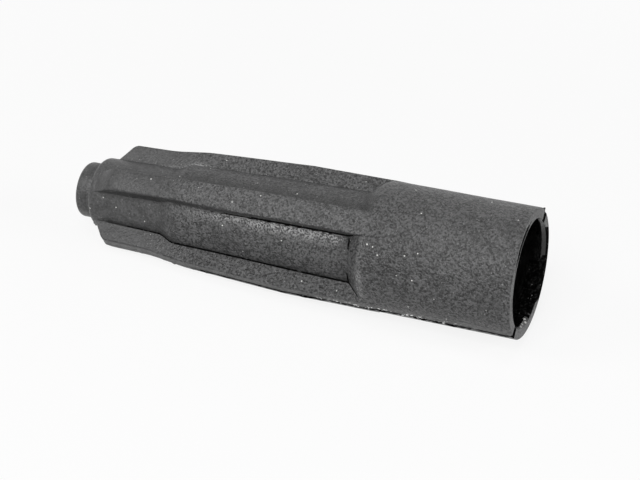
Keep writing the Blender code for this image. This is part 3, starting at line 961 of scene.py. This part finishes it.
@dataclass
class RubberBoot:
    """The boot: sleeve, shoulder, ribbed core, cable grip and bead, moulded as one.

    Its skin is one closed grid, rolled round the axis and back through the bore.
    The ribs, with their fillets and their run-outs, lift that grid.
    """

    length: float = 96.0 * MM
    sleeve_radius: float = 13.0 * MM
    sleeve_length: float = 30.6 * MM
    lip_outer_round: float = 0.16 * MM
    lip_inner_round: float = 0.10 * MM
    solid_lip_round: float = 0.25 * MM
    lead_in: float = 0.4 * MM
    funnel_depth: float = 0.7 * MM
    mouth_radius: float = 10.6 * MM
    mouth_end_radius: float = 10.2 * MM
    mouth_depth: float = 25.0 * MM
    throat_radius: float = 5.0 * MM
    pocket_start: float = 31.0 * MM
    pocket_end: float = 76.0 * MM
    pocket_radius: float = 7.2 * MM
    cable_radius: float = 3.5 * MM
    core_start: float = 34.0 * MM
    step_start: float = 72.4 * MM
    grip_end: float = 92.7 * MM
    bead_start: float = 93.3 * MM
    bead_radius: float = 5.7 * MM
    rib_half_width: float = 2.50 * MM
    rib_taper: float = 0.24 * MM
    taper_from: float = 58.0 * MM
    taper_to: float = 74.0 * MM
    sway_station: float = 75.5 * MM
    sway_reach: float = 6.0 * MM
    rib_start: float = 27.8 * MM
    rib_corner: float = 87.3 * MM
    rib_foot: float = 89.9 * MM
    rib_edge_round: float = 0.32 * MM
    least_rise: float = 0.2 * MM
    wobble: float = 0.035 * MM
    swell_size: float = 11.0 * MM
    ripple_size: float = 3.0 * MM
    ripple_share: float = 0.3
    # Where the black of painted shade lies in the mouth's funnel and as a ring on its end face; and
    # how far black patches run along the torn edges.
    shade_depth: float = 3.0 * MM
    shade_ring: float = 11.8 * MM
    torn_to: float = 66.0 * MM
    lip_step: float = 0.24 * MM
    skin_step: float = 0.8 * MM
    bore_step: float = 2.5 * MM
    arc_steps: int = 8
    lip_rows: int = 9
    ribs: list[Rib] = field(default_factory=four_ribs)
    crest_widths: tuple[float, ...] = (0.0, 0.10 * MM, 0.22 * MM)
    fin_shape: tuple[float, ...] = (1.0, 0.30, 0.0, 0.0, 0.0)
    nick_shape: tuple[float, ...] = (1.0, 0.9, 0.65, 0.3, 0.0)
    crest_steps: int = 4
    round_steps: int = 4
    flank_steps: int = 4
    valley_steps: int = 10

    @property
    def foot_column(self) -> int:
        """Returns the column, counted from a rib's middle, where its valley starts."""
        crest = len(self.crest_widths) - 1 + self.crest_steps
        return crest + 2 * self.round_steps + self.flank_steps

    def rim_radius(self) -> float:
        """Returns the radius at which the record's mount lies on the solid's lip."""
        return (self.mouth_radius + self.lead_in + self.sleeve_radius - self.solid_lip_round) / 2

    def outer_corners(self) -> list[Corner]:
        """Returns the outside's corners, from the mouth's inner edge to the cable bore's edge.

        Returns:
            The corners, by rising station.
        """
        return [
            Corner(0.0, self.mouth_radius + self.lead_in, self.lip_inner_round),
            Corner(0.0, self.sleeve_radius, self.lip_outer_round),
            Corner(self.sleeve_length, self.sleeve_radius, 4.0 * MM),
            Corner(self.core_start, 9.9 * MM, 1.2 * MM),
            Corner(45.0 * MM, 9.7 * MM, 20.0 * MM),
            Corner(self.step_start + 0.6 * MM, 8.9 * MM, 3.0 * MM),
            Corner(self.pocket_end - 0.2 * MM, 7.6 * MM, 3.5 * MM),
            Corner(self.grip_end - 0.6 * MM, 7.2 * MM, 1.8 * MM),
            Corner(self.grip_end, 5.5 * MM, 0.15 * MM),
            Corner(self.bead_start, self.bead_radius, 1.1 * MM),
            Corner(self.length, self.bead_radius, 1.1 * MM),
            Corner(self.length, self.cable_radius + self.lead_in, 0.12 * MM),
        ]

    def inner_corners(self) -> list[Corner]:
        """Returns the bore's corners, from the cable end back to the mouth.

        Returns:
            The corners, by falling station.
        """
        return [
            Corner(self.length - self.lead_in, self.cable_radius, 0.3 * MM),
            Corner(self.pocket_end, self.cable_radius, 0.2 * MM),
            Corner(self.pocket_end, self.pocket_radius, 0.5 * MM),
            Corner(self.pocket_start, self.pocket_radius, 0.5 * MM),
            Corner(self.pocket_start, self.throat_radius, 0.3 * MM),
            Corner(self.mouth_depth + 1.2 * MM, self.throat_radius, 0.6 * MM),
            Corner(self.mouth_depth, self.throat_radius + 1.2 * MM, 0.4 * MM),
            Corner(self.mouth_depth, self.mouth_end_radius, 1.2 * MM),
            Corner(self.funnel_depth, self.mouth_radius, 0.6 * MM),
        ]

    def crest(self) -> Outline:
        """Returns the line of a rib's crest, down to its foot on the cable grip.

        Returns:
            The crest's outline, by rising station.
        """
        top = self.sleeve_radius + 0.2 * MM
        corners = [
            Corner(self.rib_start - 0.10 * MM, self.sleeve_radius),
            Corner(self.rib_start + 0.14 * MM, self.sleeve_radius + 0.12 * MM, 0.05 * MM),
            Corner(self.sleeve_length, top, 1.0 * MM),
            Corner(48.0 * MM, top, 8.0 * MM),
            Corner(70.6 * MM, 12.07 * MM, 30.0 * MM),
            Corner(78.0 * MM, 11.06 * MM, 30.0 * MM),
            Corner(self.rib_corner, 10.8 * MM, 1.9 * MM),
            Corner(self.rib_foot, 7.24 * MM, 0.5 * MM),
            Corner(self.rib_foot + 0.8 * MM, 7.2 * MM),
        ]
        return rounded(corners, self.arc_steps)

    def rows(self) -> list[SkinRow]:
        """Returns the rings of the skin, once round its closed section.

        Returns:
            The rings: the lip, the outside, the cable end and the bore.
        """
        corners = self.outer_corners() + self.inner_corners()
        outline = rounded(corners, self.arc_steps, closed=True)
        turn = next(index for index, point in enumerate(outline) if point.x > self.length - 1e-6)
        lip = next(index for index, point in enumerate(outline) if point.x > self.lip_outer_round)
        outer = refined(outline[:lip], self.lip_step)[:-1]
        outer += refined(outline[lip - 1 : turn + 1], self.skin_step)
        crest, near_end = self.crest(), 86.0 * MM
        extra = [point.x for point in crest if point.x < near_end]
        for rib in self.ribs:
            extra += [point.x + rib.end_shift for point in crest if point.x > near_end]
        rows = [
            SkinRow(point.x, point.y, Face.OUTSIDE, index >= self.lip_rows)
            for index, point in enumerate(with_stations(outer, extra))
        ]
        for point in refined(outline[turn:] + outline[:1], self.bore_step)[1:-1]:
            at_end = point.x > self.length - 0.1 * MM
            rows.append(SkinRow(point.x, point.y, Face.OUTSIDE if at_end else Face.INSIDE, False))
        return rows

    def crest_radius(self, rib: Rib, crest: Outline, station: float) -> float:
        """Returns the height of a rib's crest, softened at its cable end where the rib says so.

        Args:
            rib: The rib.
            crest: The line of a rib's crest.
            station: The station.

        Returns:
            The crest's radius.
        """
        blur = rib.end_blur * smooth_ramp(station, 82.0 * MM, 85.0 * MM)
        shares = (-1.0, -0.5, 0.0, 0.5, 1.0)
        return sum(radius_at(crest, station + share * blur) for share in shares) / len(shares)

    def half_width(self, station: float) -> float:
        """Returns half a rib's width, which shrinks towards the cable end."""
        taper = smooth_ramp(station, self.taper_from, self.taper_to)
        return self.rib_half_width - self.rib_taper * taper

    def half_section(
        self, radius: float, crest: float, half: float, root_round: float
    ) -> list[tuple[float, float]]:
        """Draws a rib's section from the middle of its crest to the middle of the valley.

        Args:
            radius: The radius of the core beside the rib.
            crest: The radius of the rib's crest.
            half: Half the rib's width.
            root_round: The wanted radius of the fillet at its foot.

        Returns:
            The points' angles from the rib's middle, and their radii.
        """
        rise = max(crest - radius, self.least_rise)
        edge = min(self.rib_edge_round, 0.45 * rise)
        root = min(root_round, 0.45 * rise)
        top = radius + rise
        edge_centre = Vector((half - edge, math.sqrt((top - edge) ** 2 - (half - edge) ** 2)))
        root_height = math.sqrt((radius + root) ** 2 - (half + root) ** 2)
        root_centre = Vector((half + root, root_height))
        crest_end = math.atan2(edge_centre.x, edge_centre.y)
        valley_start = math.atan2(root_centre.x, root_centre.y)
        points = [(math.asin(width / top), top) for width in self.crest_widths]
        first = points[-1][0]
        for step in range(1, self.crest_steps + 1):
            points.append((first + (crest_end - first) * step / self.crest_steps, top))
        flat: list[Vector] = []
        for step in range(1, self.round_steps + 1):
            angle = crest_end + (math.pi / 2 - crest_end) * step / self.round_steps
            flat.append(edge_centre + edge * Vector((math.sin(angle), math.cos(angle))))
        flank_foot = Vector((half, root_centre.y))
        for step in range(1, self.flank_steps):
            flat.append(flat[self.round_steps - 1].lerp(flank_foot, step / self.flank_steps))
        for step in range(self.round_steps + 1):
            angle = -math.pi / 2 - (math.pi / 2 - valley_start) * step / self.round_steps
            flat.append(root_centre + root * Vector((math.sin(angle), math.cos(angle))))
        points.extend((math.atan2(point.x, point.y), point.length) for point in flat)
        spread = math.pi / 4 - valley_start
        for step in range(1, self.valley_steps + 1):
            points.append((valley_start + spread * step / self.valley_steps, radius))
        lift = min(1.0, max(0.0, crest - radius) / self.least_rise)
        return [(angle, radius + (reach - radius) * lift) for angle, reach in points]

    def even_angles(self, radius: float, count: int) -> list[float]:
        """Returns the columns' angles where there is no rib: close on the flash, then even.

        Args:
            radius: The ring's radius.
            count: How many columns half a rib's sector has.

        Returns:
            The angles from the rib's middle.
        """
        angles = [math.asin(width / radius) for width in self.crest_widths]
        first, steps = angles[-1], count - len(angles)
        spread = math.pi / 4 - first
        angles.extend(first + spread * step / steps for step in range(1, steps + 1))
        return angles

    def row_points(self, row: SkinRow, crest: Outline) -> list[Vector]:
        """Places one ring of the skin.

        Args:
            row: The ring.
            crest: The line of a rib's crest.

        Returns:
            Its points in the cap's own frame, once round the axis.
        """
        points: list[Vector] = []
        half_width = self.half_width(row.station)
        sway = bell(row.station, self.sway_station, self.sway_reach)
        near_mouth = 1.0 - smooth_ramp(row.station, 20.0 * MM, self.rib_start - 0.2 * MM)
        for rib in self.ribs:
            station = rib.crest_station(row.station)
            ribbed = row.outer and crest[0].x <= station <= crest[-1].x
            top = max(self.crest_radius(rib, crest, station), row.radius) if ribbed else row.radius
            run_out = self.rib_foot + max(0.3 * MM, rib.end_shift)
            near_cable = smooth_ramp(row.station, run_out, self.grip_end)
            evenness = max(near_mouth, near_cable) if row.outer else 1.0
            for side, root in ((-1.0, rib.falling_root), (1.0, rib.rising_root)):
                section = self.half_section(row.radius, top, half_width, root)
                plain = self.even_angles(row.radius, len(section))
                half = []
                for column, (angle, reach) in enumerate(section):
                    spread = angle + (plain[column] - angle) * evenness
                    place, reach = self.marked(row, rib, column, reach)
                    lean = rib.sway / reach * sway * (1.0 - column / len(section))
                    half.append(self.placed(rib, place, side * spread + lean, reach))
                points.extend(reversed(half[1:]) if side < 0 else half[:-1])
        return points

    def marked(self, row: SkinRow, rib: Rib, column: int, reach: float) -> tuple[float, float]:
        """Adds the mould's torn edge, and its nick in the mouth, to one point.

        Args:
            row: The point's ring.
            rib: The nearest rib.
            column: The point's column, counted from the rib's middle.
            reach: The point's radius.

        Returns:
            The point's new station and radius.
        """
        on_flash = rib.flash and column < len(self.nick_shape)
        if not on_flash or row.face is not Face.OUTSIDE or row.station >= self.grip_end:
            return row.station, reach
        rough = 0.35 + 1.3 * abs(noise.noise(Vector((row.station / (0.8 * MM), rib.angle, 0.0))))
        rough *= 1.0 + 0.6 * noise.noise(Vector((row.station / (5.0 * MM), 7.0, rib.angle)))
        rough += rib.flash.tab * smooth_ramp(row.station, 2.6 * MM, 0.3 * MM)
        if row.outer:
            reach += self.fin_shape[column] * rib.flash.height * rough
        fading = smooth_ramp(row.station, 2.4 * MM, self.lip_outer_round)
        return row.station + rib.flash.nick_depth * self.nick_shape[column] * fading, reach

    def placed(self, rib: Rib, station: float, angle: float, reach: float) -> Vector:
        """Returns a point of the skin in the cap's own frame, with the mould's slight waviness.

        Args:
            rib: The nearest rib.
            station: The point's station.
            angle: Its angle from the rib's middle.
            reach: Its radius.

        Returns:
            The point.
        """
        point = axis_point(station, rib.angle + angle, reach)
        swell = noise.noise(point / self.swell_size)
        swell += self.ripple_share * noise.noise(point / self.ripple_size)
        scale = (reach + self.wobble * swell) / reach
        return Vector((point.x, point.y * scale, point.z * scale))

    def marks(self, row: SkinRow) -> list[tuple[float, float]]:
        """Says how much painted shade, and how much dust and painted highlight, each point of one
        ring gets.

        Args:
            row: The ring.

        Returns:
            The two shares, in the same order as the ring's points.
        """
        last = self.foot_column
        if not row.outer:
            return [(0.0, 0.0)] * (2 * len(self.ribs) * (last + self.valley_steps))
        shares: list[tuple[float, float]] = []
        station = row.station
        rib_share = self.rib_half_width / max(row.radius, self.rib_half_width * 2)
        valley = (math.pi / 4 - math.asin(rib_share)) * row.radius
        ribbed = smooth_ramp(station, self.sleeve_length - 0.6 * MM, self.sleeve_length + 0.6 * MM)
        ribbed *= smooth_ramp(station, self.rib_foot, self.rib_corner)
        # Painted shade in the groove before the bead, and a painted highlight on the grip's rounded
        # end.
        groove_shade = 0.75 * bell(station, self.bead_start + 0.3 * MM, 0.35 * MM)
        corner_highlight = 0.45 * bell(station, self.grip_end - 0.45 * MM, 0.3 * MM)
        for rib in self.ribs:
            for shade_and_dust in (rib.falling, rib.rising):
                half = []
                for column in range(last + self.valley_steps + 1):
                    along = max(0.0, (column - last) / self.valley_steps) * valley
                    spot = ValleySpot(column - last, along, station, ribbed)
                    dark, dusty_and_lit = self.darkened(shade_and_dust, spot), self.dusted_and_lit(shade_and_dust, spot)
                    half.append((max(dark, groove_shade), max(dusty_and_lit, corner_highlight)))
                shares.extend(reversed(half[1:]) if shade_and_dust is rib.falling else half[:-1])
        return shares

    def on_crest(self, spot: ValleySpot) -> float:
        """Returns 1 on a rib's crest and 0 past the round of its edge."""
        crest_end = -2 * self.round_steps - self.flank_steps
        return smooth_ramp(spot.step, crest_end + 1.0, crest_end - 1.0)

    def at_foot(self, spot: ValleySpot) -> float:
        """Returns 1 in the valley and in the fillet at a rib's foot, and 0 on its flank."""
        return smooth_ramp(spot.step, -self.round_steps - 0.5, -1.0)

    def darkened(self, shade_and_dust: ValleyShadeAndDust, spot: ValleySpot) -> float:
        """Says how much painted shade a point beside a rib gets, at its foot, on its lower flank
        and in the pocket; also darker lines where a rib starts, and near the grip.

        Args:
            shade_and_dust: The painted shade, dust and painted highlight on this side of the rib.
            spot: The point.

        Returns:
            Its share of painted shade.
        """
        step, along, station, ribbed = spot.step, spot.along, spot.station, spot.ribbed
        root = -self.round_steps
        flank_top = root - self.flank_steps
        line = shade_and_dust.line * smooth_ramp(step, root + 0.5, -1.5)
        line *= smooth_ramp(along, shade_and_dust.line_width, shade_and_dust.line_width * 0.3)
        line *= smooth_ramp(station, shade_and_dust.line_to + 3.0 * MM, shade_and_dust.line_to - 3.0 * MM)
        flank = shade_and_dust.flank * smooth_ramp(step, flank_top - self.round_steps + 1.0, flank_top + 1.0)
        flank *= smooth_ramp(step, root + 1.0, root - 0.5)
        painted_shade = shade_and_dust.painted_shade * self.at_foot(spot) * bell(along, 0.0, shade_and_dust.crease_width)
        painted_shade *= smooth_ramp(station, shade_and_dust.crease_to + 5.0 * MM, shade_and_dust.crease_to - 3.0 * MM)
        pocket = max(0.35, shade_and_dust.pocket * bell(along, 0.0, 2.2 * MM))
        pocket *= self.at_foot(spot) * bell(station, self.core_start + 0.4 * MM, 1.3 * MM)
        # A darker line on the crest where the rib rises from the sleeve, and ribs a little darker
        # towards the cable grip.
        rib_start = bell(station, self.rib_start - 0.1 * MM, 0.2 * MM)
        near_grip = smooth_ramp(step, -2.0, -5.0) * smooth_ramp(station, 69.0 * MM, 78.0 * MM)
        valley = max(line, flank, painted_shade, pocket) * ribbed
        return max(valley, 0.55 * self.on_crest(spot) * rib_start, 0.24 * near_grip)

    def dusted_and_lit(self, shade_and_dust: ValleyShadeAndDust, spot: ValleySpot) -> float:
        """Says how much dust and painted highlight a point beside a rib gets: a dusty band, lighter
        as a painted highlight, by the rib's foot, and painted highlights on crest and shoulder.

        Args:
            shade_and_dust: The painted shade, dust and painted highlight on this side of the rib.
            spot: The point.

        Returns:
            Its share of dust and painted highlight.
        """
        step, along, station = spot.step, spot.along, spot.station
        root = -self.round_steps
        # A dusty band beside the rib's foot, lighter there as a painted highlight.
        dusty_and_lit = smooth_ramp(station, shade_and_dust.dust_and_highlight_from - 1.8 * MM, shade_and_dust.dust_and_highlight_from + 1.5 * MM)
        dusty_and_lit *= smooth_ramp(station, shade_and_dust.dust_and_highlight_to + 7.0 * MM, shade_and_dust.dust_and_highlight_to - 7.0 * MM)
        dusty_and_lit *= 1.0 - 0.35 * smooth_ramp(station, 52.0 * MM, 60.0 * MM)
        dusty_and_lit *= 0.70 + 0.55 * smooth_ramp(along, 0.9 * MM, 0.1 * MM)
        dusty_and_lit *= smooth_ramp(step, root - 0.65, root + 0.7) * smooth_ramp(along, 2.7 * MM, 0.3 * MM)
        # Painted highlights on the crest and on the shoulder's round.
        crest = shade_and_dust.crest_highlight * self.on_crest(spot) * smooth_ramp(station, 74.0 * MM, 64.0 * MM)
        shoulder = shade_and_dust.shoulder * bell(station, self.sleeve_length - 0.1 * MM, 0.9 * MM)
        shoulder *= self.at_foot(spot)
        return max(shade_and_dust.dust_and_highlight * dusty_and_lit * spot.ribbed, crest * spot.ribbed, shoulder)

    def skin_place(self, station: float, degrees: float) -> Vector:
        """Returns the outside's place at a station and an angle, in the cap's own frame.

        Args:
            station: The station.
            degrees: The angle round the axis, in degrees.

        Returns:
            The place, in the cap's own frame.
        """
        radius = radius_at(rounded(self.outer_corners()[1:]), station)
        crest = self.crest()
        top = radius_at(crest, station)
        angle = math.radians(degrees)
        for rib in self.ribs:
            beside = abs(math.remainder(angle - rib.angle, 2 * math.pi)) * radius
            on_rib = beside < self.rib_half_width * radius / top
            if on_rib and crest[0].x < station < crest[-1].x:
                radius = max(radius, top)
        return axis_point(station, angle, radius)

    def funnel_place(self, station: float, degrees: float) -> Vector:
        """Returns the place in the mouth's funnel at a station and an angle.

        Args:
            station: The station.
            degrees: The angle round the axis, in degrees.

        Returns:
            The place, in the cap's own frame.
        """
        depth = min(1.0, station / self.funnel_depth)
        radius = self.mouth_radius + self.lead_in * (1.0 - depth)
        return axis_point(station, math.radians(degrees), radius)

    def is_shaded_in_funnel(self, station: float, turn: float) -> bool:
        """Says where the mouth's funnel, just inside, is put in the black of painted shade.

        Args:
            station: The place's station.
            turn: Its angle round the axis, from 0 to a full turn.

        Returns:
            Whether the place is black.
        """
        ragged = 9.0 * noise.noise(Vector((turn * 9.0, station / MM, 0.0)))
        far_end = 264.0 - 9.0 * station / MM
        return station < self.shade_depth and 190.0 < math.degrees(turn) + ragged < far_end

    def is_shaded_on_lip(self, radius: float, turn: float) -> bool:
        """Says where the mouth's end face is put in the black of painted shade: most of its far
        side, and a thin ring on its near side.

        Args:
            radius: The place's distance from the axis.
            turn: Its angle round the axis, from 0 to a full turn.

        Returns:
            Whether the place is black.
        """
        degrees = math.degrees(turn)
        far_side = smooth_ramp(degrees, 206.0, 226.0) * smooth_ramp(degrees, 306.0, 282.0)
        near_side = smooth_ramp(degrees, 2.0, 18.0) * smooth_ramp(degrees, 66.0, 44.0)
        reach = self.mouth_radius + 2.8 * MM * far_side
        return radius < reach or abs(radius - self.shade_ring) < 0.5 * MM * near_side

    def is_black_outside(self, rib: Rib, side: float, station: float) -> bool:
        """Says where the outside is put in flat black: painted shade in lines near the ribs' feet
        and at the core's start, and black patches on the torn edges.

        Args:
            rib: The nearest rib.
            side: The place's column from the rib's middle, below 0 on its falling side.
            station: Its station.

        Returns:
            Whether the place is black.
        """
        shade_and_dust = rib.rising if side > 0 else rib.falling
        step = abs(side) - self.foot_column
        low, high = shade_and_dust.shade_steps
        low += (high - low) * smooth_ramp(station, shade_and_dust.shade_to - 16.0 * MM, shade_and_dust.shade_to)
        patchy = noise.noise(Vector((station / (1.1 * MM), step * 0.5, rib.angle)))
        gaps = noise.noise(Vector((station / (0.7 * MM), step * 0.9, 5.0)))
        in_shade = shade_and_dust.shade_from < station < shade_and_dust.shade_to and gaps < shade_and_dust.shade_cover * 1.2 - 0.6
        if in_shade and low < step + shade_and_dust.shade_rag * patchy < high:
            return True
        if rib.flash and abs(side) < 2 and station < self.torn_to and patchy < 0.15:
            return True
        at_core = abs(station - self.core_start + 0.1 * MM) < 0.16 * MM
        return at_core and shade_and_dust.base > 0.0 and -2 < step < shade_and_dust.base

    def face_index(self, row: SkinRow, after: SkinRow, column: int, turn: float) -> int:
        """Finds the material of the face between two rings.

        Args:
            row: The first ring.
            after: The ring after it.
            column: The face's column, once round the axis.
            turn: Its angle round the axis, from 0 to a full turn.

        Returns:
            The material's index.
        """
        plain = Face.INSIDE if Face.INSIDE in (row.face, after.face) else Face.OUTSIDE
        steps = self.foot_column + self.valley_steps
        rib = self.ribs[column // (2 * steps)]
        side = column % (2 * steps) - steps + 0.5
        lip_end = self.lip_outer_round + 0.3 * MM
        if plain is Face.INSIDE:
            in_shade = self.is_shaded_in_funnel(min(row.station, after.station), turn)
        elif max(row.station, after.station) < lip_end and row.radius > self.mouth_radius:
            # The nicks in the mouth's end face are put in the black of painted shade.
            nicked = rib.flash is not None and abs(side) < len(self.nick_shape) - 1
            in_shade = nicked or self.is_shaded_on_lip((row.radius + after.radius) / 2, turn)
        else:
            in_shade = row.outer and self.is_black_outside(rib, side, row.station)
        return (Face.PAINTED_SHADE if in_shade else plain).value

    def build(self, axis: CapAxis, finishes: Sequence[bpy.types.Material]) -> bpy.types.Object:
        """Models the boot and dresses it.

        Args:
            axis: The cap's axis.
            finishes: The rubber of the outside and of the bore, and the flat black of painted
                shade.

        Returns:
            The boot.
        """
        crest, rows = self.crest(), self.rows()
        rings = [self.row_points(row, crest) for row in rows]
        marks = [self.marks(row) for row in rows]
        across, along = len(rings[0]), len(rings)
        deselect_all()
        bpy.ops.mesh.primitive_grid_add(x_subdivisions=along, y_subdivisions=across, size=2.0)
        boot = bpy.context.object
        boot.name = boot.data.name = "moulded_boot"
        for finish in finishes:
            boot.data.materials.append(finish)
        for polygon in boot.data.polygons:
            row = int((polygon.center.x + 1.0) / 2.0 * along)
            column = int((polygon.center.y + 1.0) / 2.0 * across)
            place = rings[row][column]
            turn = math.atan2(-place.y, place.z) % (2 * math.pi)
            after = rows[(row + 1) % along]
            polygon.material_index = self.face_index(rows[row], after, column, turn)
        lay = axis.matrix()
        # The points carry the painted shade, and the dust with its painted highlight, that the
        # outside's rubber reads.
        painted_shade = boot.data.attributes.new("painted_shade", "FLOAT", "POINT")
        dust_and_highlight = boot.data.attributes.new("dust_and_highlight", "FLOAT", "POINT")
        for index, vertex in enumerate(boot.data.vertices):
            row = round((vertex.co.x + 1.0) / 2.0 * along) % along
            column = round((vertex.co.y + 1.0) / 2.0 * across) % across
            vertex.co = lay @ rings[row][column]
            vertex.co.z = max(vertex.co.z, 0.0)
            painted_shade.data[index].value, dust_and_highlight.data[index].value = marks[row][column]
        close_up(boot, 0.0001 * MM)
        bpy.ops.object.shade_smooth()
        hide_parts("rubber_boot")
        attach(boot, "root")
        return boot


@dataclass(frozen=True)
class Softbox:
    """A soft lamp, placed by its bearing from the front and its height in degrees."""

    name: str
    bearing: float
    height: float
    power: float
    size: float = 0.35
    distance: float = 0.9

    def place(self) -> Vector:
        """Returns the lamp's place.

        Returns:
            The place, in the world.
        """
        bearing, height = math.radians(self.bearing), math.radians(self.height)
        level = math.cos(height)
        way = (math.sin(bearing) * level, -math.cos(bearing) * level, math.sin(height))
        return self.distance * Vector(way)


@dataclass
class Studio:
    """The pale floor, the soft lamps and the camera."""

    floor_size: float = 6.0
    backdrop_height: float = 2.4
    backdrop_round: float = 1.2
    room_light: float = 0.06
    lamps: tuple[Softbox, ...] = (
        Softbox("front_softbox", 0.0, 40.0, 4.3),
        Softbox("left_softbox", -45.0, 40.0, 1.6),
        Softbox("top_softbox", 0.0, 75.0, 1.3),
        Softbox("right_softbox", 90.0, 25.0, 2.6),
        Softbox("back_softbox", 180.0, 25.0, 0.5),
    )
    lens: float = 112.5
    camera_place: tuple[float, float, float] = (0.123386, -0.329502, 0.204731)
    camera_right: tuple[float, float, float] = (0.923912, 0.375984, 0.070871)
    camera_back: tuple[float, float, float] = (0.297491, -0.822429, 0.484881)

    def floor_material(self) -> bpy.types.Material:
        """Builds the floor's white, which still takes the cap's shadow.

        Returns:
            The material.
        """
        graph = material_graph("studio_floor")
        paint = graph.add("ShaderNodeBsdfDiffuse", {"Color": grey(0.93)}).outputs[0]
        white = graph.add("ShaderNodeEmission", {"Color": grey(1.0), "Strength": 1.0}).outputs[0]
        place = graph.add("ShaderNodeTexCoord").outputs["Object"]
        away = graph.add("ShaderNodeVectorMath", {0: place}, operation="LENGTH").outputs["Value"]
        share = graph.times(graph.seen(), graph.ramp(away, 0.06, 0.4, 0.86, 1.0))
        mixed = graph.add("ShaderNodeMixShader", {0: share, 1: paint, 2: white})
        graph.feed(graph.tree.nodes["Material Output"], "Surface", mixed.outputs[0])
        return graph.owner

    def build_floor(self) -> None:
        """Lays the floor and turns its far edge up into a backdrop."""
        deselect_all()
        bpy.ops.mesh.primitive_plane_add(size=self.floor_size, location=(0.0, 0.0, 0.0))
        floor = bpy.context.object
        floor.name = floor.data.name = "studio_floor"
        bpy.ops.object.mode_set(mode="EDIT")
        bpy.ops.mesh.select_mode(type="EDGE")
        bpy.ops.mesh.select_all(action="DESELECT")
        self.select_far_edges(floor)
        rise = (0.0, 0.0, self.backdrop_height)
        bpy.ops.mesh.extrude_edges_move(TRANSFORM_OT_translate={"value": rise})
        self.select_far_edges(floor)
        bpy.ops.mesh.bevel(offset=self.backdrop_round, segments=12)
        bpy.ops.object.mode_set(mode="OBJECT")
        bpy.ops.object.shade_smooth()
        floor.data.materials.append(self.floor_material())

    def select_far_edges(self, floor: bpy.types.Object) -> None:
        """Selects the edge where the floor meets the backdrop, and stays in edit mode.

        Args:
            floor: The floor.
        """
        bpy.ops.object.mode_set(mode="OBJECT")
        far = self.floor_size / 2 - 0.01
        for edge in floor.data.edges:
            ends = [floor.data.vertices[index].co for index in edge.vertices]
            edge.select = all(end.y > far and end.z < 0.01 for end in ends)
        bpy.ops.object.mode_set(mode="EDIT")

    def build_world(self) -> None:
        """Lights the room evenly, and shows it white to the camera and in gloss."""
        world = bpy.data.worlds.new("studio_room")
        bpy.context.scene.world = world
        graph = Graph(world)
        strength = graph.ramp(graph.seen(), 0.0, 1.0, self.room_light, 1.0)
        graph.feed(graph.shader, "Color", grey(1.0))
        graph.feed(graph.shader, "Strength", strength)

    def add_lamp(self, softbox: Softbox) -> None:
        """Hangs a square soft lamp that faces the cap.

        Args:
            softbox: The lamp's place, size and power.
        """
        deselect_all()
        place = softbox.place()
        bpy.ops.object.light_add(type="AREA", location=place)
        lamp = bpy.context.object
        lamp.name = softbox.name
        lamp.data.shape = "SQUARE"
        lamp.data.size = softbox.size
        lamp.data.energy = softbox.power
        lamp.rotation_euler = (-place).to_track_quat("-Z", "Y").to_euler()

    def build_camera(self) -> None:
        """Sets the camera where the photograph was taken from."""
        deselect_all()
        bpy.ops.object.camera_add(location=self.camera_place)
        camera = bpy.context.object
        camera.name = "photo_camera"
        right, back = Vector(self.camera_right), Vector(self.camera_back)
        camera.rotation_euler = Matrix((right, back.cross(right), back)).transposed().to_euler()
        camera.data.lens = self.lens
        camera.data.sensor_width = 36.0
        camera.data.sensor_fit = "HORIZONTAL"
        camera.data.clip_start = 0.01
        bpy.context.scene.camera = camera

    def build(self) -> None:
        """Builds the studio."""
        self.build_floor()
        self.build_world()
        for lamp in self.lamps:
            self.add_lamp(lamp)
        self.build_camera()
        bpy.context.scene.view_settings.view_transform = "Standard"


def dress_node(frame: dict, node: str, material: bpy.types.Material) -> None:
    """Gives a CAD node that keeps its shape a better material.

    Args:
        frame: What the frame's load gave.
        node: The node's name.
        material: The material that takes every slot of the node.
    """
    for slot in frame["nodes"][node].material_slots:
        slot.material = material
    LOG.info("%s: %s", node, material.name)


def build_boot(record: dict) -> CapAxis:
    """Builds the boot.

    Args:
        record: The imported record.

    Returns:
        The cap's axis.
    """
    boot = RubberBoot()
    axis = CapAxis.from_record(record, boot.rim_radius())
    dots = [
        Crumb(boot.skin_place(station * MM, degrees), width * MM, bright)
        for station, degrees, width, bright in CRUMBS
    ]
    glints = [
        Crumb(boot.funnel_place(station * MM, degrees), width * MM, bright)
        for station, degrees, width, bright in BORE_GLINTS_AND_DEBRIS
    ]
    # The bore's rubber is glossier than the outside's, and far darker in colour: painted shade
    # inside the bore.
    inside = MouldedRubber(
        "bore_rubber_painted_dark", colour=0.003, roughness=0.20,
        grain_strength=0.25, dust=0.01, shows_flash=False,
    )
    finishes = (
        MouldedRubber("moulded_rubber").build(axis, dots),
        inside.build(axis, glints),
        # The flat black of painted shade.
        PaintedShadeRubber("painted_shade_rubber").build(axis),
    )
    piece = boot.build(axis, finishes)
    LOG.info("%s: %d faces", piece.name, len(piece.data.polygons))
    return axis


def main() -> None:
    """Builds the cap and its studio."""
    logging.basicConfig(level=logging.INFO, format="%(name)s: %(message)s")
    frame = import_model()
    axis = build_boot(frame["record"])
    brass = TurnedMetal("contact_brass", (0.72, 0.52, 0.23), 0.26).build(axis)
    steel = TurnedMetal("spring_wire", (0.52, 0.52, 0.54), 0.28, tarnish=0.15).build(axis)
    dress_node(frame, "insulator_body", MouldedResin("insulator_resin").build(axis))
    dress_node(frame, "resistor_rod", GlazedCeramic("resistor_ceramic").build(axis))
    for node in ("plug_socket", "resistor_cap_plug_end", "resistor_cap_cable_end", "cable_screw"):
        dress_node(frame, node, brass)
    for node in ("snap_wire", "contact_spring"):
        dress_node(frame, node, steel)
    Studio().build()


if __name__ == "__main__":
    main()
